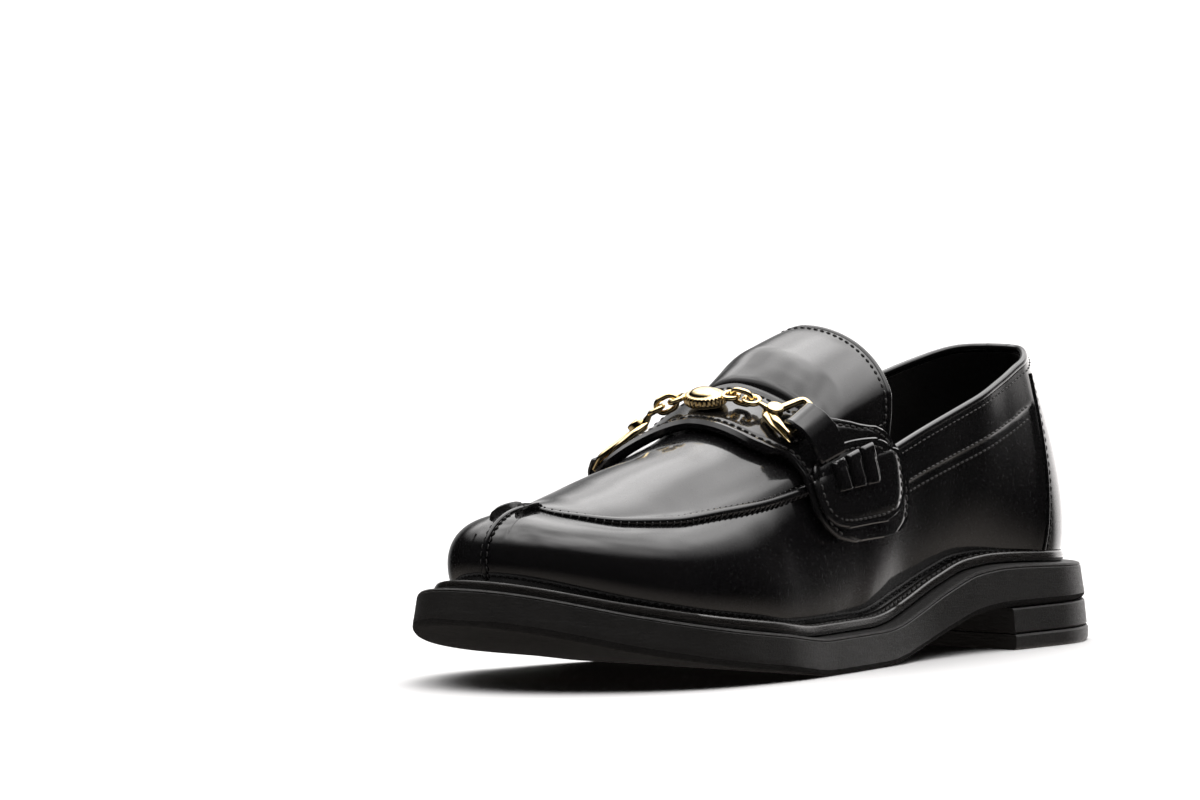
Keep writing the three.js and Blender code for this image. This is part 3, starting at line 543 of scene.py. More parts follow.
def grid_faces(rows: int, columns: int, closed: bool = False) -> np.ndarray:
    """Quads of a grid.

    Args:
        rows: Number of rows of points.
        columns: Points in a row.
        closed: Whether the rows close on themselves.

    Returns:
        Quads as rows of point numbers.
    """
    r = np.arange(rows - 1)[:, None] * columns
    c = np.arange(columns if closed else columns - 1)[None, :]
    d = (c + 1) % columns
    return np.stack([r + c, r + d, r + columns + d, r + columns + c], -1).reshape(-1, 4)


def grid_normals(p: np.ndarray, closed: bool = False) -> np.ndarray:
    """Normals of a grid of points, rows crossed with columns.

    Args:
        p: Grid of points.
        closed: Whether the rows close on themselves.

    Returns:
        Directions of length one.
    """
    down = np.gradient(p, axis=0)
    if closed:
        across = np.roll(p, -1, 1) - np.roll(p, 1, 1)
    else:
        across = np.gradient(p, axis=1)
    return unit(np.cross(across, down))


def border(rows: int, columns: int) -> np.ndarray:
    """Point numbers round the edge of a grid, in order."""
    n = np.arange(rows * columns).reshape(rows, columns)
    return np.concatenate([n[0, :-1], n[:-1, -1], n[-1, :0:-1], n[:0:-1, 0]])


def slab(
    draft: Draft, p: np.ndarray, n: np.ndarray, high: np.ndarray, low: np.ndarray, round_: float = 0.45
) -> None:
    """Adds a closed sheet of leather with rounded edges.

    Args:
        draft: Piece to add to.
        p: Grid of points, rows by columns.
        n: Normals of the grid.
        high: Height of the face side over the grid.
        low: Height of the flesh side.
        round_: How far the edge's middle bulges, as a share of the thickness.
    """
    rows, columns = p.shape[:2]
    high = np.broadcast_to(high, (rows, columns))
    low = np.broadcast_to(low, (rows, columns))
    top = (p + n * high[..., None]).reshape(-1, 3)
    under = (p + n * low[..., None]).reshape(-1, 3)
    loop = border(rows, columns)
    count = rows * columns
    flat = p.reshape(-1, 3)
    ahead = np.roll(flat[loop], -1, 0) - np.roll(flat[loop], 1, 0)
    outward = unit(np.cross(ahead, n.reshape(-1, 3)[loop]))
    thick = (high - low).reshape(-1)[loop][:, None]
    soft = thick * 0.28
    normal = n.reshape(-1, 3)[loop]
    ring_high = top[loop] - normal * soft + outward * thick * round_ * 0.8
    ring_low = under[loop] + normal * soft + outward * thick * round_ * 0.8
    size = len(loop)
    points = np.concatenate([top, under, ring_high, ring_low])
    faces = grid_faces(rows, columns)
    sides = []
    k = np.arange(size)
    k2 = (k + 1) % size
    chain = [loop, 2 * count + k, 2 * count + size + k, count + loop]
    for a, b in zip(chain[:-1], chain[1:]):
        sides.append(np.stack([a[k], b[k], b[k2], a[k2]], -1))
    draft.add(points, np.concatenate([faces, faces[:, ::-1] + count] + [part[:, ::-1] for part in sides]))


def tube(
    draft: Draft,
    path: np.ndarray,
    radius: np.ndarray | float,
    sides: int = 10,
    closed: bool = False,
    up: np.ndarray | None = None,
    flat: float = 1.0,
) -> None:
    """Adds a round or oval bar along a path.

    Args:
        draft: Piece to add to.
        path: Points along its middle.
        radius: Radius along the path.
        sides: Sides of the section.
        closed: Whether it closes on itself.
        up: Direction of the section's second axis.
        flat: Share of the radius along up.
    """
    count = len(path)
    radius = np.broadcast_to(radius, count)
    if closed:
        along = unit(np.roll(path, -1, 0) - np.roll(path, 1, 0))
    else:
        along = unit(np.gradient(path, axis=0))
    guide = np.broadcast_to(np.array([0.0, 0.0, 1.0]) if up is None else up, path.shape)
    across = unit(np.cross(guide, along))
    rise = np.cross(along, across)
    turn = 2 * np.pi * np.arange(sides) / sides
    ring = across[:, None] * np.cos(turn)[None, :, None] + rise[:, None] * np.sin(turn)[None, :, None] * flat
    points = path[:, None] + ring * radius[:, None, None]
    r = np.arange(count if closed else count - 1)[:, None]
    r2 = (r + 1) % count
    c = np.arange(sides)[None, :]
    d = (c + 1) % sides
    faces = np.stack([r * sides + c, r * sides + d, r2 * sides + d, r2 * sides + c], -1).reshape(-1, 4)
    draft.add(points, faces)
    if not closed:
        base = draft.count - count * sides
        for start, flip in ((base, True), (base + (count - 1) * sides, False)):
            row = list(range(start, start + sides))
            draft.faces.append(row[::-1] if flip else row)
            draft.looks.append(0)


def along_path(path: np.ndarray, pitch: float, closed: bool = False) -> tuple[np.ndarray, np.ndarray]:
    """Places at an even pitch along a path.

    Args:
        path: Points of the path.
        pitch: Distance between places.
        closed: Whether the path closes on itself.

    Returns:
        Fractional point numbers of the places, and the path's directions there.
    """
    points = np.concatenate([path, path[:1]]) if closed else path
    length = np.concatenate([[0], np.cumsum(np.linalg.norm(np.diff(points, axis=0), axis=1))])
    count = max(2, int(round(length[-1] / pitch)))
    s = (np.arange(count) + 0.5) / count * length[-1]
    place = np.interp(s, length, np.arange(len(points)))
    ahead = np.interp(np.minimum(s + 0.4, length[-1]), length, np.arange(len(points)))
    back = np.interp(np.maximum(s - 0.4, 0), length, np.arange(len(points)))
    return place, unit(pick(points, ahead) - pick(points, back))


def pick(values: np.ndarray, place: np.ndarray) -> np.ndarray:
    """Values read between the rows of an array.

    Args:
        values: The array.
        place: Fractional row numbers.

    Returns:
        The values there.
    """
    i = np.clip(np.floor(place).astype(int), 0, len(values) - 2)
    f = (place - i)[:, None]
    return values[i] * (1 - f) + values[i + 1] * f


def stitches(
    draft: Draft,
    path: np.ndarray,
    normals: np.ndarray,
    pitch: float = SIZES.stitch_pitch,
    length: float = 2.0,
    radius: float = 0.34,
    closed: bool = False,
    slant: float = 0.0,
) -> None:
    """Adds a row of stitches lying on a surface.

    Args:
        draft: Piece to add to.
        path: Points on the surface.
        normals: The surface's normals there.
        pitch: Distance from stitch to stitch.
        length: Length of a stitch that shows.
        radius: Radius of the thread.
        closed: Whether the row closes on itself.
        slant: Turn of each stitch out of the row, in radians.
    """
    place, along = along_path(path, pitch, closed)
    points = np.concatenate([path, path[:1]]) if closed else path
    ns = np.concatenate([normals, normals[:1]]) if closed else normals
    centre, up = pick(points, place), unit(pick(ns, place))
    side = unit(np.cross(up, along))
    along = np.cross(side, up)
    run = along * math.cos(slant) + side * math.sin(slant)
    across = np.cross(up, run)
    stations = np.array([-0.5, -0.42, -0.2, 0.0, 0.2, 0.42, 0.5])
    radii = np.array([0.35, 0.8, 1.0, 1.05, 1.0, 0.8, 0.35]) * radius
    lifts = np.array([-0.9, -0.2, 0.35, 0.45, 0.35, -0.2, -0.9]) * radius
    turn = 2 * np.pi * np.arange(6) / 6
    spine = centre[:, None] + run[:, None] * (stations * length)[:, None] + up[:, None] * lifts[:, None]
    ring = across[:, None, None] * np.cos(turn)[:, None] + up[:, None, None] * np.sin(turn)[:, None]
    solid = spine[:, :, None] + ring * radii[None, :, None, None]
    one = grid_faces(7, 6, True)[:, ::-1]
    caps = np.array([[0, 1, 2, 3], [0, 3, 4, 5], [39, 38, 37, 36], [41, 40, 39, 36]])
    one = np.concatenate([one, caps])
    every = (one[None] + (np.arange(len(centre)) * 42)[:, None, None]).reshape(-1, 4)
    draft.add(solid.reshape(-1, 3), every, THREAD_LOOK)


class Graph:
    """A short way to write a material's nodes."""

    def __init__(self, name: str) -> None:
        """Starts an empty material with a principled surface.

        Args:
            name: Name of the material.
        """
        self.material = bpy.data.materials.new(name)
        self.material.use_nodes = True
        self.tree = self.material.node_tree
        self.tree.nodes.clear()
        self.output = self.node("ShaderNodeOutputMaterial")
        self.surface = self.node("ShaderNodeBsdfPrincipled")
        self.link(self.surface.outputs[0], self.output.inputs["Surface"])
        self.place = self.node("ShaderNodeTexCoord").outputs["Object"]

    def node(self, kind: str, **values: object) -> bpy.types.Node:
        """A new node with its settings.

        Args:
            kind: The node's type.
            **values: Its settings.

        Returns:
            The node.
        """
        made = self.tree.nodes.new(kind)
        for key, value in values.items():
            setattr(made, key, value)
        return made

    def link(self, a: Socket, b: Socket) -> None:
        """Joins an output to an input."""
        self.tree.links.new(a, b)

    def noise(
        self, scale: float, detail: float = 4, rough: float = 0.5, stretch: Triple = (1, 1, 1)
    ) -> Socket:
        """A noise value.

        Args:
            scale: Features per metre.
            detail: Octaves.
            rough: Share that each octave keeps.
            stretch: Scale along each axis.

        Returns:
            The noise's output.
        """
        mapping = self.node("ShaderNodeMapping")
        mapping.inputs["Scale"].default_value = stretch
        self.link(self.place, mapping.inputs["Vector"])
        made = self.node("ShaderNodeTexNoise")
        made.inputs["Scale"].default_value = scale
        made.inputs["Detail"].default_value = detail
        made.inputs["Roughness"].default_value = rough
        self.link(mapping.outputs[0], made.inputs["Vector"])
        return made.outputs["Fac"]

    def cells(self, scale: float) -> Socket:
        """Distance to the edge of fine cells.

        Args:
            scale: Cells per metre.

        Returns:
            The distance's output.
        """
        made = self.node("ShaderNodeTexVoronoi", feature="DISTANCE_TO_EDGE")
        made.inputs["Scale"].default_value = scale
        self.link(self.place, made.inputs["Vector"])
        return made.outputs["Distance"]

    def ramp(self, value: Socket, low: float, high: float, a: float, b: float) -> Socket:
        """A value remapped from low..high to a..b.

        Args:
            value: What is remapped.
            low: Start of its range.
            high: End of its range.
            a: Result at low.
            b: Result at high.

        Returns:
            The result.
        """
        made = self.node("ShaderNodeMapRange")
        for key, number in zip(("From Min", "From Max", "To Min", "To Max"), (low, high, a, b)):
            made.inputs[key].default_value = number
        self.link(value, made.inputs["Value"])
        return made.outputs[0]

    def mix(self, value: Socket, a: Triple, b: Triple) -> Socket:
        """A colour between a and b.

        Args:
            value: 0 for a, 1 for b.
            a: First colour.
            b: Second colour.

        Returns:
            The colour.
        """
        made = self.node("ShaderNodeMix", data_type="RGBA")
        made.inputs["A"].default_value = (*a, 1)
        made.inputs["B"].default_value = (*b, 1)
        self.link(value, made.inputs["Factor"])
        return made.outputs["Result"]

    def bump(self, height: Socket, distance: float, before: Socket | None = None) -> Socket:
        """A bump of a height in metres, on top of an earlier one.

        Args:
            height: Height, 0 to 1.
            distance: Depth in metres.
            before: An earlier bump.

        Returns:
            The normal.
        """
        made = self.node("ShaderNodeBump")
        made.inputs["Distance"].default_value = distance
        made.inputs["Strength"].default_value = 1.0
        self.link(height, made.inputs["Height"])
        if before is not None:
            self.link(before, made.inputs["Normal"])
        return made.outputs[0]

    def set(self, **values: object) -> None:
        """Sets or links inputs of the surface, with underscores for spaces.

        Args:
            **values: Values or outputs, by input.
        """
        for key, value in values.items():
            socket = self.surface.inputs[key.replace("_", " ")]
            if isinstance(value, Socket):
                self.link(value, socket)
            else:
                socket.default_value = value


class Finish:
    """A finish that makes its material once."""

    made: dict[str, bpy.types.Material] = {}
    name = "finish"

    def material(self) -> bpy.types.Material:
        """The material, made at its first use.

        Returns:
            The material.
        """
        if self.name not in Finish.made:
            graph = Graph(self.name)
            self.nodes(graph)
            Finish.made[self.name] = graph.material
        return Finish.made[self.name]

    def nodes(self, graph: Graph) -> None:
        """Writes the nodes of the finish."""
        raise NotImplementedError


@dataclass(frozen=True)
class GlossLeather(Finish):
    """Smooth black leather with a high gloss coat."""

    name: str = "gloss_black_leather"
    colour: Triple = (0.0035, 0.0035, 0.004)
    worn: Triple = (0.007, 0.0066, 0.0066)
    roughness: float = 0.24
    grain: float = 0.00001

    def nodes(self, graph: Graph) -> None:
        """Fine pores under the coat and slow waves in it.

        Args:
            graph: The material's nodes.
        """
        cloud = graph.noise(38, 3)
        pores = graph.cells(1500)
        slow = graph.noise(60, 2, 0.4)
        fine = graph.noise(900, 4, 0.6)
        base = graph.bump(graph.ramp(pores, 0, 0.2, 0, 1), self.grain)
        base = graph.bump(fine, self.grain * 1.5, base)
        coat = graph.bump(slow, 0.00012)
        coat = graph.bump(fine, 0.000002, coat)
        graph.set(
            Base_Color=graph.mix(cloud, self.colour, self.worn),
            Roughness=graph.ramp(fine, 0.3, 0.7, self.roughness * 0.85, self.roughness * 1.2),
            Specular_IOR_Level=0.1,
            Coat_Weight=1.0,
            Coat_Roughness=0.07,
            Coat_IOR=1.5,
            Normal=base,
            Coat_Normal=coat,
        )


@dataclass(frozen=True)
class Thread(Finish):
    """Waxed black thread, twisted."""

    name: str = "black_thread"

    def nodes(self, graph: Graph) -> None:
        """Fine twist and uneven gloss.

        Args:
            graph: The material's nodes.
        """
        twist = graph.noise(2600, 2, 0.5, (1, 1, 3))
        graph.set(
            Base_Color=graph.mix(twist, (0.008, 0.008, 0.008), (0.03, 0.028, 0.027)),
            Roughness=graph.ramp(twist, 0.3, 0.7, 0.35, 0.55),
            Normal=graph.bump(twist, 0.00006),
        )


@dataclass(frozen=True)
class EdgePaint(Finish):
    """Polished dark edge of the welt."""

    name: str = "welt_black"

    def nodes(self, graph: Graph) -> None:
        """Layered edge with a burnished gloss.

        Args:
            graph: The material's nodes.
        """
        layers = graph.noise(700, 4, 0.6, (0.2, 0.2, 4))
        graph.set(
            Base_Color=graph.mix(layers, (0.01, 0.0095, 0.009), (0.026, 0.023, 0.021)),
            Roughness=graph.ramp(layers, 0.3, 0.7, 0.2, 0.36),
            Coat_Weight=0.6,
            Coat_Roughness=0.12,
            Normal=graph.bump(layers, 0.00005),
        )


@dataclass(frozen=True)
class Rubber(Finish):
    """Moulded black rubber, slightly brown, with a fine texture."""

    name: str = "sole_rubber"
    dark: Triple = (0.0055, 0.0052, 0.005)
    light: Triple = (0.013, 0.012, 0.0112)
    roughness: float = 0.45
    pit: float = 0.00012
    shine: float = 0.4

    def nodes(self, graph: Graph) -> None:
        """Specks, pits and soft colour variation.

        Args:
            graph: The material's nodes.
        """
        cloud = graph.noise(90, 5, 0.6)
        specks = graph.noise(1300, 5, 0.7)
        lines = graph.noise(420, 3, 0.6, (0.4, 0.4, 3))
        bump = graph.bump(specks, self.pit)
        bump = graph.bump(lines, self.pit * 1.3, bump)
        graph.set(
            Base_Color=graph.mix(cloud, self.dark, self.light),
            Roughness=graph.ramp(specks, 0.3, 0.7, self.roughness * 0.85, self.roughness * 1.25),
            Specular_IOR_Level=self.shine,
            Normal=bump,
        )


@dataclass(frozen=True)
class Lining(Finish):
    """Smooth lining leather, matt, nearly black."""

    name: str = "lining"

    def nodes(self, graph: Graph) -> None:
        """Fine grain and soft stains.

        Args:
            graph: The material's nodes.
        """
        grain = graph.cells(1100)
        cloud = graph.noise(45, 4)
        graph.set(
            Base_Color=graph.mix(cloud, (0.006, 0.0055, 0.005), (0.014, 0.0125, 0.0115)),
            Roughness=graph.ramp(cloud, 0.3, 0.7, 0.5, 0.68),
            Normal=graph.bump(graph.ramp(grain, 0, 0.2, 0, 1), 0.00006),
        )


@dataclass(frozen=True)
class Gold(Finish):
    """Polished pale gold plating with fine wear."""

    name: str = "polished_gold"

    def nodes(self, graph: Graph) -> None:
        """Even plating, a few fine scratches and a warm tint that changes at random.

        Args:
            graph: The material's nodes.
        """
        cloud = graph.noise(500, 3)
        scratch = graph.noise(2200, 2, 0.6, (1, 6, 1))
        graph.set(
            Base_Color=graph.mix(cloud, (0.83, 0.62, 0.30), (0.93, 0.78, 0.47)),
            Metallic=1.0,
            Roughness=graph.ramp(scratch, 0.3, 0.7, 0.09, 0.2),
            Normal=graph.bump(scratch, 0.000006),
        )


LEATHER, THREAD, WELT_EDGE = GlossLeather(), Thread(), EdgePaint()
RUBBER, LINING, GOLD = Rubber(), Lining(), Gold()
TREAD = Rubber("tread_rubber", roughness=0.8, pit=0.0006, shine=0.1)
PAIR = [LEATHER, THREAD]


def ring_stations(count: int) -> tuple[np.ndarray, np.ndarray]:
    """Stations round the sole.

    Args:
        count: Stations from the heel to the toe on one side.

    Returns:
        Sides and shares, once round from the heel's back.
    """
    at = (1 - np.cos(np.pi * np.arange(count + 1) / count)) / 2
    sides = np.concatenate([np.ones(count + 1), -np.ones(count - 1)])
    return sides, np.concatenate([at, at[1:-1][::-1]])


def level(z: float) -> Height:
    """The same height everywhere."""
    return lambda t: np.full_like(t, z)


def between(share: float) -> Height:
    """Height at a share of the outsole's thickness."""
    return lambda t: LAST.bottom(t) * (1 - share) + LAST.top(t) * share


def above(z: float) -> Height:
    """Height at a distance over the outsole's top."""
    return lambda t: LAST.top(t) + z


def ring_at(side: np.ndarray, at: np.ndarray, inset: np.ndarray | float, height: Height) -> np.ndarray:
    """A ring of the sole.

    Args:
        side: Sides of its stations.
        at: Shares of its stations.
        inset: Distance inside the sole's edge.
        height: Function of the share of the length.

    Returns:
        Points, one row each.
    """
    p = LAST.edge(side, at, inset)
    return np.concatenate([p, height(LAST.share(p[:, 1]))[:, None]], -1)


def ladder(start: int, count: int, up: bool) -> list[list[int]]:
    """Faces that close a ring straight across.

    Args:
        start: Number of its first point.
        count: Points in the ring.
        up: Whether the faces look up.

    Returns:
        The faces.
    """
    faces = []
    i, j = 0, count
    while i + 1 <= j - 1:
        face = [start + i, start + i + 1, start + j - 1, start + j % count]
        clean = list(dict.fromkeys(face))
        if len(clean) > 2:
            faces.append(clean[::-1] if up else clean)
        i, j = i + 1, j - 1
    return faces


@dataclass
class Sole:
    """Outsole, heel, welt and insole."""

    stations: int = 150
    rib_pitch: float = 4.6

    def solid(self, rings: list[np.ndarray], looks: list[int] | None = None, under: int = 0) -> Draft:
        """A solid through rings, closed at both ends.

        Args:
            rings: Rings from the lowest to the highest.
            looks: Material of each band.
            under: Material of the underside.

        Returns:
            The draft of the solid.
        """
        draft = Draft()
        count = len(rings[0])
        draft.add(np.concatenate(rings), np.zeros((0, 4), int))
        for r in range(len(rings) - 1):
            draft.faces.extend((grid_faces(2, count, True) + r * count).tolist())
            draft.looks.extend([looks[r] if looks else 0] * count)
        last = (len(rings) - 1) * count
        for faces, look in ((ladder(0, count, False), under), (ladder(last, count, True), 0)):
            draft.faces.extend(faces)
            draft.looks.extend([look] * len(faces))
        return draft

    def outsole(self) -> None:
        """The outsole with its grooved side."""
        s = SIZES
        side, at = ring_stations(self.stations)
        arc = np.cumsum(np.r_[0, np.linalg.norm(np.diff(LAST.edge(side, at, 0.0), axis=0), axis=1)])
        rib = 0.5 + 0.5 * np.cos(2 * np.pi * arc / self.rib_pitch)
        front = smooth(at, 0.36, 0.42)
        rough = 0.28 * (rib > 0.5) * front
        rings = [
            ring_at(side, at, inset - flare * s.sole_flare + ribbed * rough, between(lift / s.sole_thickness))
            for inset, flare, lift, ribbed in OUTSOLE_EDGE
        ]
        looks = [1] * TREAD_BANDS + [0] * (len(rings) - 1 - TREAD_BANDS)
        self.solid(rings, looks, 1).build("outsole_rubber", Slot.RUBBER, [RUBBER, TREAD], ("outsole",), 35)

    def heel(self) -> None:
        """Heel block and top piece."""
        s = SIZES
        end = s.heel_length / s.sole_length
        at = end * (1 - np.cos(np.pi * np.arange(61) / 120))
        side = np.concatenate([np.ones(61), -np.ones(60)])
        at = np.concatenate([at, at[1:][::-1]])

        flare = [-s.sole_flare - s.heel_flare * (1 - z / s.heel_lift) for z in (s.top_piece, s.heel_lift)]
        low, high = s.top_piece + s.gap, s.heel_lift - s.gap
        block = [
            ring_at(side, at, flare[0] + 0.5, level(low)), ring_at(side, at, flare[0], level(low + 0.5)),
            ring_at(side, at, flare[1], level(high - 0.5)), ring_at(side, at, flare[1] + 0.5, level(high)),
        ]
        self.solid(block).build("heel_block_rubber", Slot.RUBBER, [RUBBER], ("heel_block",), 35)
        edge = -s.sole_flare - s.heel_flare
        cap = [ring_at(side, at, edge + inset, level(z)) for inset, z in TOP_PIECE_EDGE]
        self.solid(cap).build("heel_top_rubber", Slot.RUBBER, [RUBBER], ("heel_top_piece",), 35)

    def welt(self) -> None:
        """The welt with its row of stitches."""
        s = SIZES
        side, at = ring_stations(self.stations)
        hole = LAST.upper("foot", at) * s.ball_width + s.welt_overlap
        low, high = s.gap, s.gap + s.welt_thickness
        inset = s.welt_inset
        section = [
            (inset + 0.7, low), (inset + 0.15, low + 0.5), (inset, low + 1.3), (inset + 0.05, high - 0.9),
            (inset + 0.5, high - 0.2), (inset + 1.1, high), (inset + 1.9, high - 0.12),
            (inset + 2.5, high - 0.5), (inset + 3.1, high - 0.12), (inset + 3.7, high),
            (hole, high), (hole, low),
        ]
        draft = Draft()
        draft.sleeve(np.stack([ring_at(side, at, place, above(z)) for place, z in section]))
        row = ring_at(side, at, inset + 2.5, above(high - 0.42))
        up = np.tile([0.0, 0.0, 1.0], (len(row), 1))
        stitches(draft, row, up, pitch=3.1, length=2.5, radius=0.42, closed=True)
        draft.build("welt_strip", Slot.WELT, [WELT_EDGE, THREAD], ("welt",), 40)

    def insole(self) -> None:
        """The insole inside the upper."""
        s = SIZES
        side, at = ring_stations(110)
        foot = LAST.upper("foot", at) * s.ball_width
        plug, board = foot + s.welt_overlap + s.gap, foot + s.wall + 2 * s.gap + 0.15
        shelf = s.welt_thickness + 2 * s.gap
        face = shelf + s.insole_thickness
        section = [
            (plug, s.gap), (plug, shelf), (board, shelf), (board, face - 0.8), (board + 1.0, face - 0.1),
            (board + 6, face),
        ]
        rings = [ring_at(side, at, inset, above(z)) for inset, z in section]
        self.solid(rings).build("insole_board", Slot.LINING, [LINING], ("insole",), 50)

    def build(self) -> None:
        """Builds all pieces of the sole."""
        self.outsole()
        self.heel()
        self.welt()
        self.insole()


@dataclass(frozen=True)
class Crease:
    """A soft trough on the upper.

    at and girth give its middle, run its direction (share of the length per girth), reach its half length in
    girth, width its half width in millimetres and depth its depth.
    """

    at: float
    girth: float
    run: float
    reach: float
    width: float
    depth: float


CREASES = (
    Crease(0.3, 1.45, 0.03, 0.3, 7.0, 0.22),
    Crease(0.36, 1.5, -0.04, 0.25, 8.0, 0.18),
    Crease(0.63, 1.4, 0.02, 0.28, 6.0, 0.35),
    Crease(0.68, 1.45, -0.02, 0.3, 7.0, 0.4),
    Crease(0.3, -1.45, 0.03, 0.3, 5.0, 0.5),
    Crease(0.65, -1.4, 0.02, 0.28, 6.0, 0.4),
    Crease(0.66, 0.2, 0.03, 0.5, 6.0, 0.3),
    Crease(0.7, -0.2, -0.03, 0.5, 7.0, 0.3),
)


def crease_height(at: np.ndarray, girth: np.ndarray) -> np.ndarray:
    """Height of all creases at a place of the upper.

    Args:
        at: Share of the length from the heel's back.
        girth: Girth, as for a point of the last.

    Returns:
        Heights in millimetres, negative in a trough.
    """
    height = np.zeros(np.broadcast(at, girth).shape)
    for c in CREASES:
        off = (girth - c.girth) / c.reach
        across = (at - c.at - c.run * (girth - c.girth)) * SIZES.sole_length / c.width
        height -= c.depth * np.exp(-(across**2)) * np.exp(-(off**2) * 1.4)
    return height


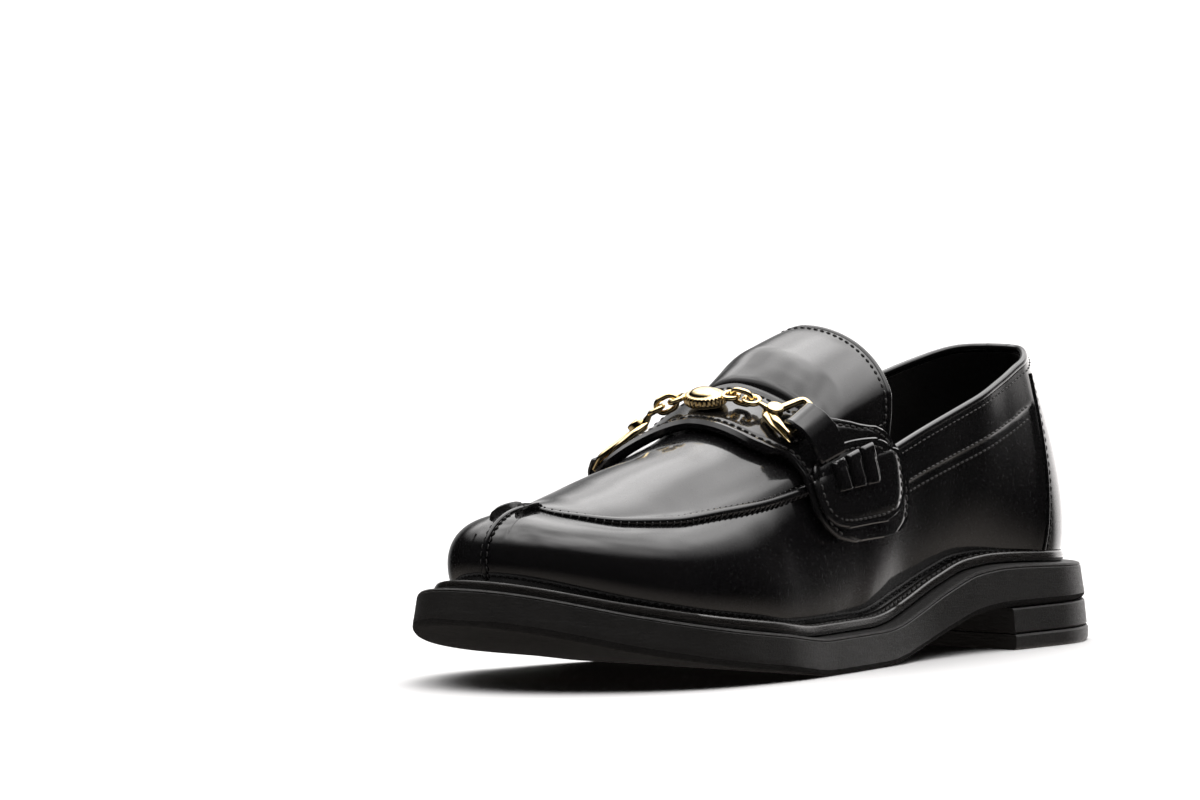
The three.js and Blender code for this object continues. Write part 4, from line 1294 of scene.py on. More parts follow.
@dataclass
class Upper:
    """Wall, apron, seam, lining, collar and back strip."""

    around: int = 190
    up: int = 64
    across: int = 64

    def ring(self) -> tuple[np.ndarray, np.ndarray]:
        """Stations round the wall."""
        return ring_stations(self.around)

    def band_share(self, side: np.ndarray, at: np.ndarray) -> np.ndarray:
        """Share of the wall's height that the collar band takes."""
        tall = np.linalg.norm(LAST.point(at, side) - LAST.point(at, side * 2), axis=-1)
        return np.minimum(0.45, SIZES.collar_band / tall)

    def relief(self, side: np.ndarray, at: np.ndarray, v: np.ndarray) -> np.ndarray:
        """Steps of the wall: the collar band, the counter and the creases.

        Args:
            side: 1 outer, -1 inner.
            at: Shares of the length.
            v: Height up the wall, 0 to 1.

        Returns:
            Heights over the last.
        """
        band = self.band_share(side, at)
        low = 1 - band
        over = smooth((v - low) * 60, 0, 1) * (at < 0.479)
        counter = 1 - smooth((at - SIZES.counter_reach / SIZES.sole_length) * 200 + v * 3, 0, 1)
        height = BAND_STEP * np.maximum(over, counter)
        return height + crease_height(at, side * (2 - v))

    def wall(self) -> None:
        """The wall, from the welt to the rim."""
        side, at = self.ring()
        v = np.linspace(0, 1, self.up) ** 0.92
        sides, ats = side[None, :], at[None, :]
        girth = sides * (2 - v[:, None])
        p = LAST.point(ats, girth)
        n = grid_normals(p, True)
        if n[10, 5, 0] < 0:
            n = -n
        top = p + n * self.relief(sides, ats, v[:, None])[..., None]
        inner = p - n * (SIZES.wall - BAND_STEP)
        lip = [
            top[-1:] * (1 - x) + inner[-1:] * x + np.array([0.0, 0.0, lift])
            for x, lift in ((0.25, 0.4), (0.5, 0.5), (0.75, 0.4))
        ]
        draft = Draft()
        draft.sleeve(np.concatenate([top, *lip, inner[::-1]]))
        for share in (0.08, -0.22):
            for sign in (1.0, -1.0):
                a = np.linspace(0.135, 0.475, 160)
                g = sign * (1 + self.band_share(np.full_like(a, sign), a) * (1 - share))
                path = LAST.raised(a, g, crease_height(a, g) + (0.5 if share > 0 else 0.0))
                stitches(draft, path, LAST.normal(a, g))
        draft.build("upper_wall", Slot.LEATHER, PAIR, ("upper",), 50)

    def binding(self) -> None:
        """The rolled binding of the collar, and the strip down the heel's back with its seams."""
        a = (0.535 * (1 - np.cos(np.linspace(0, np.pi, 121)))) / 2
        at = np.concatenate([a[::-1], a[1:]])
        side = np.concatenate([np.ones(121), -np.ones(120)])
        normal = LAST.normal(at, side * 1.04)
        path = LAST.point(at, side) - normal * 0.7 + np.array([0.0, 0.0, 0.35])
        draft = Draft()
        tube(draft, path, 1.35, 14)
        under = LAST.raised(at, side * 1.04, np.full(241, 0.62))
        stitches(draft, under, LAST.normal(at, side * 1.04), radius=0.22, length=1.8)
        draft.build("upper_binding", Slot.LEATHER, PAIR, ("upper",), 60)
        strip = Draft()
        rise = np.full(70, 0.62)
        for sign in (1, -1):
            v = np.linspace(0.0, 0.93, 70)
            share = SIZES.counter_reach / SIZES.sole_length * (0.92 - 0.12 * v)
            g = sign * (2 - v)
            tube(strip, LAST.raised(share, g, rise), 0.62, 10, up=LAST.normal(share, g))
            share = share - 0.008
            stitches(strip, LAST.raised(share, g, rise), LAST.normal(share, g), radius=0.26)
        strip.build("upper_back_strip", Slot.LEATHER, PAIR, ("upper",), 60)

    def apron(self) -> None:
        """The apron over the forefoot."""
        rows = 120
        t = np.linspace(0, 1, rows)
        at = SIZES.throat + (0.9985 - SIZES.throat) * (1 - (1 - t) ** 1.6)
        u = np.linspace(-1, 1, self.across)
        girth = np.sign(u) * np.abs(u) ** 0.9 * 0.985
        p = LAST.point(at[:, None], girth[None])
        n = grid_normals(p)
        if n[10, 30, 2] < 0:
            n = -n
        hem = 0.9 * smooth(np.abs(girth), 0.82, 0.985)[None] ** 2
        h = crease_height(at[:, None], girth[None]) + hem
        if np.cross(p[1, 0] - p[0, 0], p[0, 1] - p[0, 0])[2] > 0:
            p, n, h = p[:, ::-1], n[:, ::-1], h[:, ::-1]
        draft = Draft()
        slab(draft, p, n, h, h - APRON_THICKNESS)
        draft.build("upper_apron", Slot.LEATHER, PAIR, ("upper",), 50)

    def seam(self) -> None:
        """The raised seam round the apron, with its cross stitches, and the seam down the toe."""
        s = SIZES
        a = s.throat + 0.01 + (1 - s.throat - 0.01) * np.sin(np.linspace(0, np.pi / 2, 130))
        at = np.concatenate([a, a[:-1][::-1]])
        side = np.concatenate([np.ones(len(a)), -np.ones(len(a) - 1)])
        foot = LAST.point(at, side)
        before = np.minimum(at, 0.97)
        up = unit(LAST.normal(before, side * 0.9) + LAST.normal(before, side * 1.1))
        draft = Draft()
        along = unit(np.gradient(foot, axis=0))
        across = unit(np.cross(along, up))
        rise = np.cross(across, along)
        turn = np.linspace(0, 2 * np.pi, 15)[:-1]
        c, sn = np.cos(turn), np.sin(turn)
        w = np.sign(c) * np.abs(c) ** 0.8 * s.seam_width / 2
        tall = s.seam_height + APRON_THICKNESS
        h = np.sign(sn) * np.abs(sn) ** 0.8 * tall / 2 + (s.seam_height - APRON_THICKNESS) / 2
        slim = (1 - 0.5 * smooth(at, 0.88, 1.0))[:, None, None]
        body = foot[:, None] + (across[:, None] * w[:, None] + rise[:, None] * h[:, None]) * slim
        draft.add(body, grid_faces(len(foot), 14, True))
        base = draft.count - len(foot) * 14
        draft.faces.append(list(range(base, base + 14))[::-1])
        draft.faces.append(list(range(draft.count - 14, draft.count)))
        draft.looks.extend([0, 0])
        for sign in (1, -1):
            beside = across * sign * (s.seam_width / 2 + 0.02) + rise * (s.seam_height * 0.35)
            path = foot + beside * slim[:, 0]
            stitches(draft, path, across * sign, pitch=2.6, length=1.9, radius=0.3, slant=math.pi / 2 * 0.86)
        draft.build("upper_seam", Slot.LEATHER, PAIR, ("upper",), 60)
        toe = Draft()
        g = np.linspace(1.97, 1.06, 60)
        p = LAST.point(np.ones_like(g), g)
        out = unit(np.stack([np.zeros_like(g), -np.ones_like(g), 0.2 + 0.9 * smooth(2 - g, 0.4, 1)], -1))
        tube(toe, p + out * 0.1, 0.95, 12, up=out)
        for sign in (1, -1):
            path = p + out * 0.35 + np.array([1.0, 0, 0]) * sign * 1.1
            low = g > 1.2
            lie = np.tile([float(sign), -0.4, 0.1], (int(low.sum()), 1))
            stitches(toe, path[low], lie, pitch=2.4, length=1.6, radius=0.22)
        toe.build("upper_toe_seam", Slot.LEATHER, PAIR, ("upper",), 60)

    def lining(self) -> None:
        """The lining inside the wall."""
        side, at = self.ring()
        v = np.linspace(0.03, 0.985, 30)
        p = LAST.point(at[None], side[None] * (2 - v[:, None]))
        n = grid_normals(p, True)
        if n[10, 5, 0] < 0:
            n = -n
        draft = Draft()
        draft.sleeve(np.concatenate([p - n * 1.5, (p - n * 1.95)[::-1]]))
        draft.build("upper_lining", Slot.LINING, [LINING], ("upper",), 60)

    def build(self) -> None:
        """Builds all pieces of the upper."""
        self.wall()
        self.binding()
        self.apron()
        self.seam()
        self.lining()


@dataclass
class Tongue:
    """The tongue with its piped edge."""

    rows: int = 70
    columns: int = 56

    def place(self, t: np.ndarray, u: np.ndarray) -> tuple[np.ndarray, np.ndarray]:
        """Places on the last of a point of the tongue.

        Args:
            t: 0 at its root, 1 at its end.
            u: -1 to 1 across it.

        Returns:
            Shares of the length and girths.
        """
        s = SIZES
        root, end = s.throat + 0.045, s.tongue_reach / s.sole_length
        curl = s.tongue_corner / s.sole_length * (1 - (1 - np.abs(u) ** 3) ** (1 / 3))
        at = root + (end + curl - root) * t
        narrow = smooth(at, s.throat - 0.02, s.throat - 0.005)
        return at, u * (s.tongue_girth + (0.86 - s.tongue_girth) * narrow)

    def sunk(self, at: np.ndarray, u: np.ndarray) -> np.ndarray:
        """Height of the tongue's face over the last: its root and its sides lie under the upper.

        Args:
            at: Share of the length from the heel's back.
            u: -1 to 1 across it.

        Returns:
            Heights, none above 0.
        """
        deep = np.maximum((at - SIZES.throat) / 0.012 + 2, (np.abs(u) - 0.83) / 0.13)
        return -(SIZES.wall + 2 * SIZES.gap) * np.clip(deep, 0, 1)

    def build(self) -> None:
        """Builds the tongue."""
        s = SIZES
        t = np.linspace(0, 1, self.rows)[:, None]
        u = np.sin(np.linspace(np.pi / 2, -np.pi / 2, self.columns))[None]
        at, girth = self.place(t, u)
        p = LAST.point(at, girth)
        n = grid_normals(p)
        lift = self.sunk(at, u)
        if n[10, 28, 2] < 0:
            p, n, lift = p[:, ::-1], -n[:, ::-1], lift[:, ::-1]
        draft = Draft()
        slab(draft, p, n, lift, lift - s.tongue_thickness)
        run, turn = np.linspace(0.35, 0.955, 60), np.sin(np.linspace(1.19, -1.19, 120))
        line_t = np.concatenate([run, np.full(120, 0.955), run[::-1]])
        line_u = np.concatenate([np.full(60, 0.93), turn, np.full(60, -0.93)])
        a, g = self.place(line_t, line_u)
        path = LAST.raised(a, g, 0.03 + self.sunk(a, line_u))
        stitches(draft, path, LAST.normal(a, g), pitch=2.6, length=1.9, radius=0.3)
        rim_u = np.sin(np.linspace(np.pi / 2, -np.pi / 2, 160))
        a, g = self.place(np.ones(160), rim_u)
        tube(draft, LAST.raised(a, g, self.sunk(a, rim_u) - 0.65), 1.2, 12)
        draft.build("tongue_flap", Slot.LEATHER, PAIR, ("tongue",), 50)


def fold_scale(side: int) -> float:
    """Girth that one millimetre takes round the saddle at the strap's fold.

    Args:
        side: 1 outer, -1 inner.

    Returns:
        The girth.
    """
    share = STRAP_AT + float(forward(side))
    ends = LAST.laid(np.full(2, share), on_side(side, np.array([STRAP_TOP - 0.1, STRAP_TOP])))
    return 0.1 / float(np.linalg.norm(ends[1] - ends[0]))


@dataclass
class Saddle:
    """The saddle with its tabs, fingers and straps."""

    rows: int = 150
    columns: int = 44

    def line(self, c: float, girth: np.ndarray) -> np.ndarray:
        """Shares of the length along the saddle.

        Args:
            c: 0 at its front edge, 1 at its back.
            girth: Outer-side girths, signed.

        Returns:
            The shares.
        """
        front = column(SADDLE, "girth", "front", np.abs(girth))
        back = column(SADDLE, "girth", "back", np.abs(girth))
        return front + (back - front) * c + forward(self.hang(girth))

    def hang(self, girth: np.ndarray) -> np.ndarray:
        """Girths of the last at signed girths of the outer side."""
        return on_side(np.sign(girth), np.abs(girth))

    def sheet(
        self,
        draft: Draft,
        at: np.ndarray,
        girth: np.ndarray,
        low: np.ndarray | float,
        thick: np.ndarray | float,
        hem: np.ndarray,
    ) -> None:
        """Adds leather laid over the last on a grid of places.

        Args:
            draft: Piece to add to.
            at: Shares of the length.
            girth: Girths.
            low: Height of its underside over the last.
            thick: Thickness.
            hem: Extra height of its face.
        """
        p = LAST.laid(at, girth)
        n = grid_normals(p)
        if np.sum(n * LAST.laid_normal(at, girth)) < 0:
            p, n = p[:, ::-1], -n[:, ::-1]
            low, thick, hem = (np.broadcast_to(part, at.shape)[:, ::-1] for part in (low, thick, hem))
        slab(draft, p, n, low + thick + hem, low, round_=min(0.45, 0.7 / float(np.min(thick))))

    def saddle(self) -> None:
        """The band over the ridge with its side panels."""
        most = SADDLE[-1]["girth"]
        g = np.linspace(most, -most, self.rows)[:, None]
        c = np.linspace(0, 1, self.columns)[None]
        girth = self.hang(g) + 0 * c
        at = np.stack([self.line(x, g[:, 0]) for x in c[0]], 1)
        span = np.abs(at[:, :1] - at[:, -1:]) * SIZES.sole_length
        from_edge = np.minimum(c, 1 - c) * span
        hem = -0.22 * (smooth(from_edge, 1.2, 1.9) - smooth(from_edge, 2.6, 3.4))
        fill = (SADDLE_UNDER - 0.7) * (1 - smooth(np.abs(girth), 0.7, 0.8))
        draft = Draft()
        self.sheet(draft, at, girth, SADDLE_UNDER - fill, SIZES.saddle_thickness + fill, hem)
        for front in (True, False):
            gg = np.linspace(1.44, -1.44, 400)
            span = np.abs(self.line(0, gg) - self.line(1, gg))
            share = 2.3 / SIZES.sole_length / span
            a = self.line(share if front else 1 - share, gg)
            path = LAST.over(a, self.hang(gg), np.full(400, SADDLE_UNDER + SIZES.saddle_thickness - 0.15))
            stitches(draft, path, LAST.laid_normal(a, self.hang(gg)))
        draft.build("saddle_band", Slot.LEATHER, PAIR, ("saddle",), 50)

    def tab(self, side: int, name: str) -> None:
        """One side tab.

        Args:
            side: 1 outer, -1 inner.
            name: Node it stands for.
        """
        base = SADDLE_UNDER + SIZES.saddle_thickness + SIZES.gap
        u = np.sin(np.linspace(-np.pi / 2, np.pi / 2, 60))[:, None]
        v = np.linspace(-1, 1, 50)[None]
        power = 3.2

        def place(across: np.ndarray, width: np.ndarray) -> tuple[np.ndarray, np.ndarray]:
            """Places on the last of a point of the tab.

            Args:
                across: -1 at its lower end, 1 at its upper end.
                width: -1 to 1 across it.

            Returns:
                Shares of the length and girths.
            """
            slant = 0.055 * (1 - width) * np.maximum(0, across) ** 2
            girth = on_side(side, 1.145 - 0.255 * across + slant)
            return 0.508 + 0.0755 * width + float(forward(side)), girth

        width = np.maximum(0.5, (1 - np.abs(u) ** power) ** (1 / power))
        at, girth = place(u + 0 * v, v * width)
        from_edge = np.minimum((1 - np.abs(v)) * 22 * width, (1 - np.abs(u)) * 11)
        puff = 0.5 * smooth(from_edge, 1.6, 5.0) - 0.16 * np.exp(-(((from_edge - 1.9) / 0.5) ** 2))
        draft = Draft()
        self.sheet(draft, at, girth, base, SIZES.tab_thickness - 0.2, puff)
        w = np.linspace(0, 2 * np.pi, 300, endpoint=False)
        lu = np.sign(np.cos(w)) * np.abs(np.cos(w)) ** (2 / power) * 0.85
        lv = np.sign(np.sin(w)) * np.abs(np.sin(w)) ** (2 / power) * 0.9
        a, g = place(lu, lv)
        path = LAST.over(a, g, np.full(300, base + SIZES.tab_thickness - 0.3))
        stitches(draft, path, LAST.laid_normal(a, g), closed=True)
        draft.build(name + "_leather", Slot.LEATHER, PAIR, (name,), 50)

    def finger(self, side: int, number: int) -> None:
        """One raised loop of a tab.

        Args:
            side: 1 outer, -1 inner.
            number: 0, 1 or 2 from the front.
        """
        s = SIZES
        base = SADDLE_UNDER + s.saddle_thickness + s.gap + s.tab_thickness + s.gap
        mid = FINGER_AT - number * s.finger_pitch / s.sole_length + float(forward(side))
        u = np.linspace(-1, 1, 34)[:, None]
        v = np.linspace(-1, 1, 22)[None]
        at = mid + s.finger_width / 2 / s.sole_length * v + 0 * u
        centre, half = (FINGER_TOP + FINGER_BOTTOM) / 2, (FINGER_BOTTOM - FINGER_TOP) / 2
        girth = on_side(side, centre + half * u + 0 * v)
        round_ = (1 - np.abs(v) ** 4) ** 0.5 * (1 - np.abs(u) ** 6) ** 0.5
        furrow = 0.32 * np.exp(-(((np.maximum(np.abs(v) / 0.62, np.abs(u) / 0.82) - 1) / 0.1) ** 2))
        draft = Draft()
        self.sheet(draft, at, girth, base, 0.5, (s.finger_height - 0.5) * round_ - furrow)
        node = f"finger_{'outer' if side > 0 else 'inner'}_{number + 1}"
        draft.build(node + "_leather", Slot.LEATHER, PAIR, (node,), 50)

    def strap(self, side: int) -> None:
        """One strap folded round the bit's bar.

        Args:
            side: 1 outer, -1 inner.
        """
        s = SIZES
        tab_base = SADDLE_UNDER + s.saddle_thickness + s.gap
        radius = s.bar_radius + 2 * s.gap + s.strap_thickness / 2
        bar = tab_base + s.strap_thickness / 2 + radius
        top, bottom = STRAP_TOP, STRAP_BOTTOM
        laid = tab_base + s.tab_thickness + 2 * s.gap + s.strap_thickness / 2
        route = [(top + 0.05, bar - radius), (top + 0.015, bar - radius)]
        for turn in np.linspace(0, np.pi, 9):
            route.append((top - radius * math.sin(turn) * fold_scale(side), bar - radius * math.cos(turn)))
        over = bar + radius
        slope = [(top + 0.11, (over * 2 + laid) / 3), (bottom - 0.06, (over + laid * 3) / 4)]
        route = np.array([*route, (top + 0.05, over), *slope, (bottom, laid)])
        step = np.linspace(0, len(route) - 1, 90)
        g, h = (np.interp(step, np.arange(len(route)), route[:, k]) for k in (0, 1))
        for _ in range(2):
            g[1:-1], h[1:-1] = (g[:-2] + 2 * g[1:-1] + g[2:]) / 4, (h[:-2] + 2 * h[1:-1] + h[2:]) / 4
        v = np.linspace(0.5, -0.5, 18)
        share = STRAP_AT + s.strap_width / s.sole_length * v + float(forward(side))
        at = share[None] - STRAP_LEAN * np.maximum(0, g - top)[:, None]
        p = LAST.over(at, on_side(side, g)[:, None] + 0 * at, h[:, None] + 0 * at)
        n = grid_normals(p)
        outward = LAST.laid_normal(at[-1:, 9], on_side(side, g[-1:]))[0]
        if np.dot(n[-2, 9], outward) < 0:
            p, n = p[:, ::-1], -n[:, ::-1]
        draft = Draft()
        slab(draft, p, n, s.strap_thickness / 2 - 0.05, -s.strap_thickness / 2 + 0.05)
        node = "strap_outer" if side > 0 else "strap_inner"
        draft.build(node + "_leather", Slot.LEATHER, PAIR, (node,), 50)

    def build(self) -> None:
        """Builds the saddle and what it carries."""
        self.saddle()
        for side, name in ((1, "tab_outer"), (-1, "tab_inner")):
            self.tab(side, name)
            for number in range(3):
                self.finger(side, number)
            self.strap(side)


@dataclass
class Bit:
    """The metal bit over the saddle."""

    base: float = BIT_BASE
    flutes: int = 30

    def __post_init__(self) -> None:
        """Lays the chain's line over the saddle."""
        s = SIZES
        self.level = self.base + s.link_width / 2 + s.gap
        self.girths = np.linspace(-1.2, 1.2, 481)
        self.curve = LAST.over(self.share(self.girths), self.girths, np.full(481, self.level))
        steps = np.linalg.norm(np.diff(self.curve, axis=0), axis=1)
        self.lengths = np.concatenate([[0], np.cumsum(steps)])
        self.origin = np.interp(BOSS_GIRTH, self.girths, self.lengths)
        self.eye_reach = s.boss_length / 2 + s.wire / 2 + 2 * s.gap
        self.pitch = (s.eye_length + s.link_length) / 2 - 2 * s.wire - s.gap

    def share(self, girth: np.ndarray) -> np.ndarray:
        """Share of the length of the chain's line."""
        return column(BIT, "girth", "at", from_middle(girth)) + forward(girth)

    def frame(self, reach: float, height: float | None = None) -> np.ndarray:
        """A place along the chain.

        Args:
            reach: Distance from the boss.
            height: Height over the last.

        Returns:
            A 4 by 4 matrix: x along the chain, z off the leather.
        """
        s = self.origin + reach
        place = np.array([np.interp(s, self.lengths, np.arange(481))])
        origin = pick(self.curve, place)[0]
        x = unit(pick(self.curve, place + 1.5)[0] - pick(self.curve, place - 1.5)[0])
        girth = np.interp(s, self.lengths, self.girths)
        up = LAST.laid_normal(self.share(np.array([girth])), np.array([girth]))[0]
        y = unit(np.cross(up, x))
        z = np.cross(x, y)
        m = np.eye(4)
        m[:3, 0], m[:3, 1], m[:3, 2] = x, y, z
        m[:3, 3] = origin + z * ((self.level if height is None else height) - self.level)
        return m

    def placed(self, m: np.ndarray, points: np.ndarray) -> np.ndarray:
        """Points moved by a matrix."""
        return points @ m[:3, :3].T + m[:3, 3]

    def oval(self, length: float, m: np.ndarray, upright: bool, draft: Draft) -> None:
        """Adds an oval ring.

        Args:
            length: Its outside length.
            m: Its place.
            upright: Whether it stands on its edge.
            draft: Piece to add to.
        """
        turn = np.linspace(0, 2 * np.pi, 65)[:-1]
        straight = (length - SIZES.link_width) / 2
        radius = (SIZES.link_width - SIZES.wire) / 2
        x = np.cos(turn) * radius + straight * np.tanh(np.cos(turn) * 6)
        y = np.sin(turn) * radius
        flat = np.zeros_like(x)
        path = np.stack([x, flat, y] if upright else [x, y, flat], -1)
        up = np.array([0.0, 1.0, 0.0]) if upright else np.array([0.0, 0.0, 1.0])
        tube(draft, self.placed(m, path), SIZES.wire / 2 - 0.03, 16, True, up=m[:3, :3] @ up)

    def boss(self) -> None:
        """The oval boss with a fluted skirt and two eyes."""
        turn = np.linspace(0, 2 * np.pi, 241)[:-1]
        half = np.array([SIZES.boss_length, SIZES.boss_width]) / 2
        rings = []
        for r, z in BOSS_PROFILE:
            skirt = math.exp(-(((z - 0.42) / 0.26) ** 2)) if r > 0.7 else 0.0
            wave = r * (1 - 0.085 * skirt * np.abs(np.cos(turn * self.flutes / 2)))
            height = np.full_like(turn, z * SIZES.boss_height * 0.97)
            rings.append(np.stack([np.cos(turn) * wave * half[0], np.sin(turn) * wave * half[1], height], -1))
        draft = Draft()
        m = self.frame(0, self.base + 0.05)
        draft.add(self.placed(m, np.concatenate(rings)), grid_faces(len(BOSS_PROFILE), 240, True))
        for side in (-1, 1):
            self.oval(SIZES.eye_length, self.frame(side * self.eye_reach), False, draft)
        draft.build("bit_boss_metal", Slot.GOLD, [GOLD], ("bit_boss",), 40)

    def chain(self) -> None:
        """The two links."""
        for side, name in ((1, "bit_link_outer"), (-1, "bit_link_inner")):
            draft = Draft()
            self.oval(SIZES.link_length, self.frame(side * (self.eye_reach + self.pitch)), True, draft)
            draft.build(name + "_metal", Slot.GOLD, [GOLD], (name,), 60)

    def end(self, side: int) -> None:
        """One end piece: eye, stem, rivet, spur, arms and bar.

        Args:
            side: 1 outer, -1 inner.
        """
        s = SIZES
        start = self.eye_reach + 2 * self.pitch
        level = self.base + s.bit_thickness / 2 + s.gap
        reach = start + s.eye_length / 2 + s.stem_length
        crown = abs(float(np.interp(self.origin + side * reach, self.lengths, self.girths)))
        share = float(self.share(np.array([side * crown]))[0]) - float(forward(side * crown))
        near = side * np.array([crown - 0.05, crown + 0.05])
        ends = LAST.laid(np.full(2, share + float(forward(side * crown))), near)
        scale = 0.1 / float(np.linalg.norm(ends[1] - ends[0]))
        half, flat = s.bit_width / 2, s.bit_thickness / s.bit_width
        fold = s.bar_radius + 2 * s.gap + s.strap_thickness / 2
        bar_height = self.base + s.strap_thickness / 2 + fold
        wide = 0.5 + (s.bar_radius + 2 * s.gap) / s.strap_width

        def spot(down: float, onward: float, height: float) -> np.ndarray:
            """A point of the end piece.

            Args:
                down: Millimetres down the side from the rivet.
                onward: Millimetres towards the toe.
                height: Height over the laid surface.

            Returns:
                The point.
            """
            g = np.array([side * (crown + down * scale)])
            return LAST.over(share + forward(g) + onward / s.sole_length, g, np.array([height]))[0]

        def beside(across: float, before: float) -> np.ndarray:
            """A point at the strap's fold, at the bar's height.

            Args:
                across: Share of the strap's width from its middle.
                before: Millimetres above the fold.

            Returns:
                The point.
            """
            a = STRAP_AT + s.strap_width / s.sole_length * across + float(forward(side))
            g = on_side(side, np.array([STRAP_TOP - before * fold_scale(side)]))
            return LAST.over(np.array([a]), g, np.array([bar_height]))[0]

        def bar(points: list[np.ndarray], radii: list[float], flat: float = 1.0) -> None:
            """Adds a smooth bar through points.

            Args:
                points: Points of its middle.
                radii: Radius at each.
                flat: Share of the radius off the leather.
            """
            t = np.linspace(0, len(points) - 1, 9 * (len(points) - 1) + 1)
            axes = [np.interp(t, np.arange(len(points)), axis) for axis in np.array(points).T]
            path = np.stack(axes, -1)
            for _ in range(3):
                path[1:-1] = (path[:-2] + 2 * path[1:-1] + path[2:]) / 4
            radius = np.interp(t, np.arange(len(points)), radii)
            tube(draft, path, radius, 14, flat=flat)

        draft = Draft()
        eye = self.frame(side * start)
        self.oval(s.eye_length, eye, False, draft)
        edge = self.frame(side * (start + s.eye_length / 2 - s.wire / 2))[:3, 3]
        stem = [edge, spot(-1, 0, level + s.gap), spot(1, 0, level)]
        bar(stem, [half * 0.5, half * 0.95, half * 1.1], flat)
        spur = [(-2, 0.2), (0, 0.56), (s.spur_length * 0.42, 0.93), (s.spur_length, 1)]
        spur = [spot(down, s.spur_offset * x, level) for down, x in spur]
        bar(spur, [half * 0.6, half, half * 0.8, half * 0.2], flat)
        bar([beside(x * wide, 0) for x in (1, 0.4, 0, -0.4, -1)], [s.bar_radius] * 5)
        for turn in (1, -1):
            corner = beside(turn * wide, fold + s.strap_thickness + s.gap)
            arm = [spot(0, turn * 0.9, level), corner, beside(turn * wide, -s.gap)]
            bar(arm, [half * 0.85, half * 0.7, s.bar_radius * 1.05], 0.8)
        centre = spot(0.5, 0, level + s.bit_thickness / 2 + s.gap)
        up = LAST.laid_normal(share + forward(side * crown), np.array([side * crown]))[0]
        x = unit(np.cross(up, np.array([0.0, 1.0, 0.0])))
        y = np.cross(up, x)
        lon = np.linspace(0, 2 * np.pi, 41)[:-1]
        ring = np.cos(lon)[:, None] * x + np.sin(lon)[:, None] * y
        head = [centre + s.rivet_radius * (r * ring + z * up) for r, z in RIVET_PROFILE]
        draft.add(np.concatenate(head), grid_faces(len(RIVET_PROFILE), 40, True))
        name = "bit_end_outer" if side > 0 else "bit_end_inner"
        draft.build(name + "_metal", Slot.GOLD, [GOLD], (name,), 60)

    def build(self) -> None:
        """Builds the whole bit."""
        self.boss()
        self.chain()
        self.end(1)
        self.end(-1)


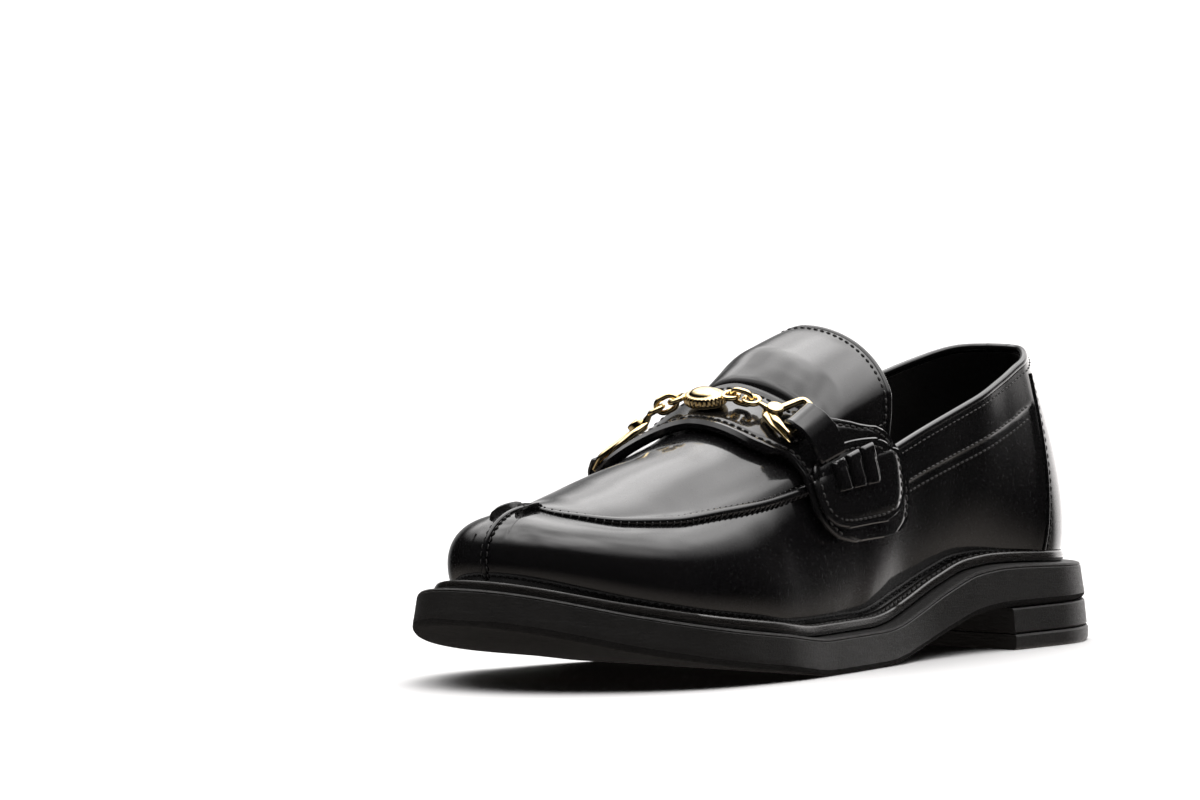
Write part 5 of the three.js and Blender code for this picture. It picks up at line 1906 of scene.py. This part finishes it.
@dataclass
class Studio:
    """Floor, lights and camera."""

    azimuth: float = 37.0
    elevation: float = 4.0
    distance: float = 3.5
    target: float = 0.045
    left: float = 0.0521
    lift: float = 0.0375
    focal_pixels: float = 11095.0
    floor_half: float = 40.0
    surround: float = 1.15
    sky: float = 4.0
    back_glow: float = 0.3
    side_glow: float = 1.9
    side_turn: float = 25.0
    floor_glow: float = 0.42

    def floor(self) -> None:
        """A plain pale floor."""
        mesh = bpy.data.meshes.new("floor")
        half = self.floor_half
        corners = [(-half, -half, 0), (half, -half, 0), (half, half, 0), (-half, half, 0)]
        mesh.from_pydata(corners, [], [(0, 1, 2, 3)])
        graph = Graph("floor_white")
        soft = graph.noise(3, 2)
        graph.set(Base_Color=graph.mix(soft, (0.86, 0.86, 0.86), (0.9, 0.9, 0.9)), Roughness=0.7)
        mesh.materials.append(graph.material)
        floor = bpy.data.objects.new("floor", mesh)
        bpy.context.scene.collection.objects.link(floor)
        floor.visible_glossy = False

    def world(self) -> None:
        """White for the camera; in reflections bright above and behind, dark in front."""
        world = bpy.data.worlds.new("studio")
        bpy.context.scene.world = world
        world.use_nodes = True
        tree = world.node_tree
        tree.nodes.clear()
        out = tree.nodes.new("ShaderNodeOutputWorld")
        mix = tree.nodes.new("ShaderNodeMixShader")
        seen = tree.nodes.new("ShaderNodeBackground")
        seen.inputs["Strength"].default_value = self.surround
        around = tree.nodes.new("ShaderNodeBackground")
        place = tree.nodes.new("ShaderNodeTexCoord").outputs["Generated"]

        def toward(direction: Triple, low: float, high: float, most: float) -> Socket:
            """Light from a direction, with a soft edge.

            Args:
                direction: Where it comes from.
                low: Cosine where it starts.
                high: Cosine where it is full.
                most: Its strength.

            Returns:
                The strength seen from the shoe.
            """
            dot = tree.nodes.new("ShaderNodeVectorMath")
            dot.operation = "DOT_PRODUCT"
            dot.inputs[1].default_value = direction
            tree.links.new(place, dot.inputs[0])
            ramp = tree.nodes.new("ShaderNodeMapRange")
            ramp.interpolation_type = "SMOOTHSTEP"
            for key, number in zip(("From Min", "From Max", "To Max"), (low, high, most)):
                ramp.inputs[key].default_value = number
            tree.links.new(dot.outputs["Value"], ramp.inputs["Value"])
            return ramp.outputs[0]

        def tinted(value: Socket, colour: Triple) -> Socket:
            """A colour scaled by a strength.

            Args:
                value: The strength.
                colour: The colour.

            Returns:
                The scaled colour.
            """
            scaled = tree.nodes.new("ShaderNodeVectorMath")
            scaled.operation = "SCALE"
            scaled.inputs[0].default_value = colour
            tree.links.new(value, scaled.inputs["Scale"])
            return scaled.outputs[0]

        az = math.radians(self.azimuth)
        behind = (-math.sin(az), math.cos(az), 0.0)
        turned = math.radians(self.side_turn) - az
        beside = (math.sin(turned), math.cos(turned), 0.0)
        sky = toward((behind[0] * 0.25, behind[1] * 0.25, 1.0), 0.5, 0.95, self.sky)
        streaks = tree.nodes.new("ShaderNodeTexNoise")
        streaks.inputs["Scale"].default_value = 2.6
        streaks.inputs["Detail"].default_value = 1.0
        tree.links.new(place, streaks.inputs["Vector"])
        uneven = tree.nodes.new("ShaderNodeMapRange")
        for key, number in zip(("From Min", "From Max", "To Min", "To Max"), (0.35, 0.65, 0.55, 1.15)):
            uneven.inputs[key].default_value = number
        tree.links.new(streaks.outputs["Fac"], uneven.inputs["Value"])
        sky_uneven = tree.nodes.new("ShaderNodeMath")
        sky_uneven.operation = "MULTIPLY"
        tree.links.new(sky, sky_uneven.inputs[0])
        tree.links.new(uneven.outputs[0], sky_uneven.inputs[1])
        parts = [
            tinted(sky_uneven.outputs[0], (1.0, 0.985, 0.98)),
            tinted(toward(behind, 0.85, 1.0, self.back_glow), (1.0, 1.0, 1.0)),
            tinted(toward(beside, 0.85, 0.975, self.side_glow), (1.0, 0.97, 0.96)),
            tinted(toward((0.0, 0.0, -1.0), 0.08, 0.5, self.floor_glow), (1.0, 0.9, 0.82)),
        ]
        total = parts[0]
        for part in parts[1:]:
            add = tree.nodes.new("ShaderNodeVectorMath")
            tree.links.new(total, add.inputs[0])
            tree.links.new(part, add.inputs[1])
            total = add.outputs[0]
        tree.links.new(total, around.inputs["Color"])
        path = tree.nodes.new("ShaderNodeLightPath")
        tree.links.new(path.outputs["Is Camera Ray"], mix.inputs[0])
        tree.links.new(around.outputs[0], mix.inputs[1])
        tree.links.new(seen.outputs[0], mix.inputs[2])
        tree.links.new(mix.outputs[0], out.inputs[0])

    def camera(self) -> None:
        """The photograph's camera."""
        az, el = math.radians(self.azimuth), math.radians(self.elevation)
        target = Vector((-LAST.middle[0] * 0.001, -LAST.middle[1] * 0.001, self.target))
        back = Vector((math.cos(el) * math.sin(az), -math.cos(el) * math.cos(az), math.sin(el)))
        right = Vector((math.cos(az), math.sin(az), 0))
        up = back.cross(right)
        data = bpy.data.cameras.new("camera")
        data.sensor_width = 36.0
        data.lens = self.focal_pixels * data.sensor_width / 1200
        data.clip_end = 50
        camera = bpy.data.objects.new("camera", data)
        bpy.context.scene.collection.objects.link(camera)
        camera.location = target + back * self.distance
        aim = target - right * self.left + up * self.lift
        camera.rotation_euler = (aim - camera.location).to_track_quat("-Z", "Y").to_euler()
        bpy.context.scene.camera = camera

    def build(self) -> None:
        """Builds the studio."""
        self.camera()
        self.floor()
        self.world()
        scene = bpy.context.scene
        scene.view_settings.view_transform = "Standard"


def main() -> None:
    """Builds the studio and every piece of the shoe."""
    logging.basicConfig(level=logging.INFO, format="%(name)s: %(message)s")
    Studio().build()
    Sole().build()
    Upper().build()
    Tongue().build()
    Saddle().build()
    Bit().build()


if __name__ == "__main__":
    main()
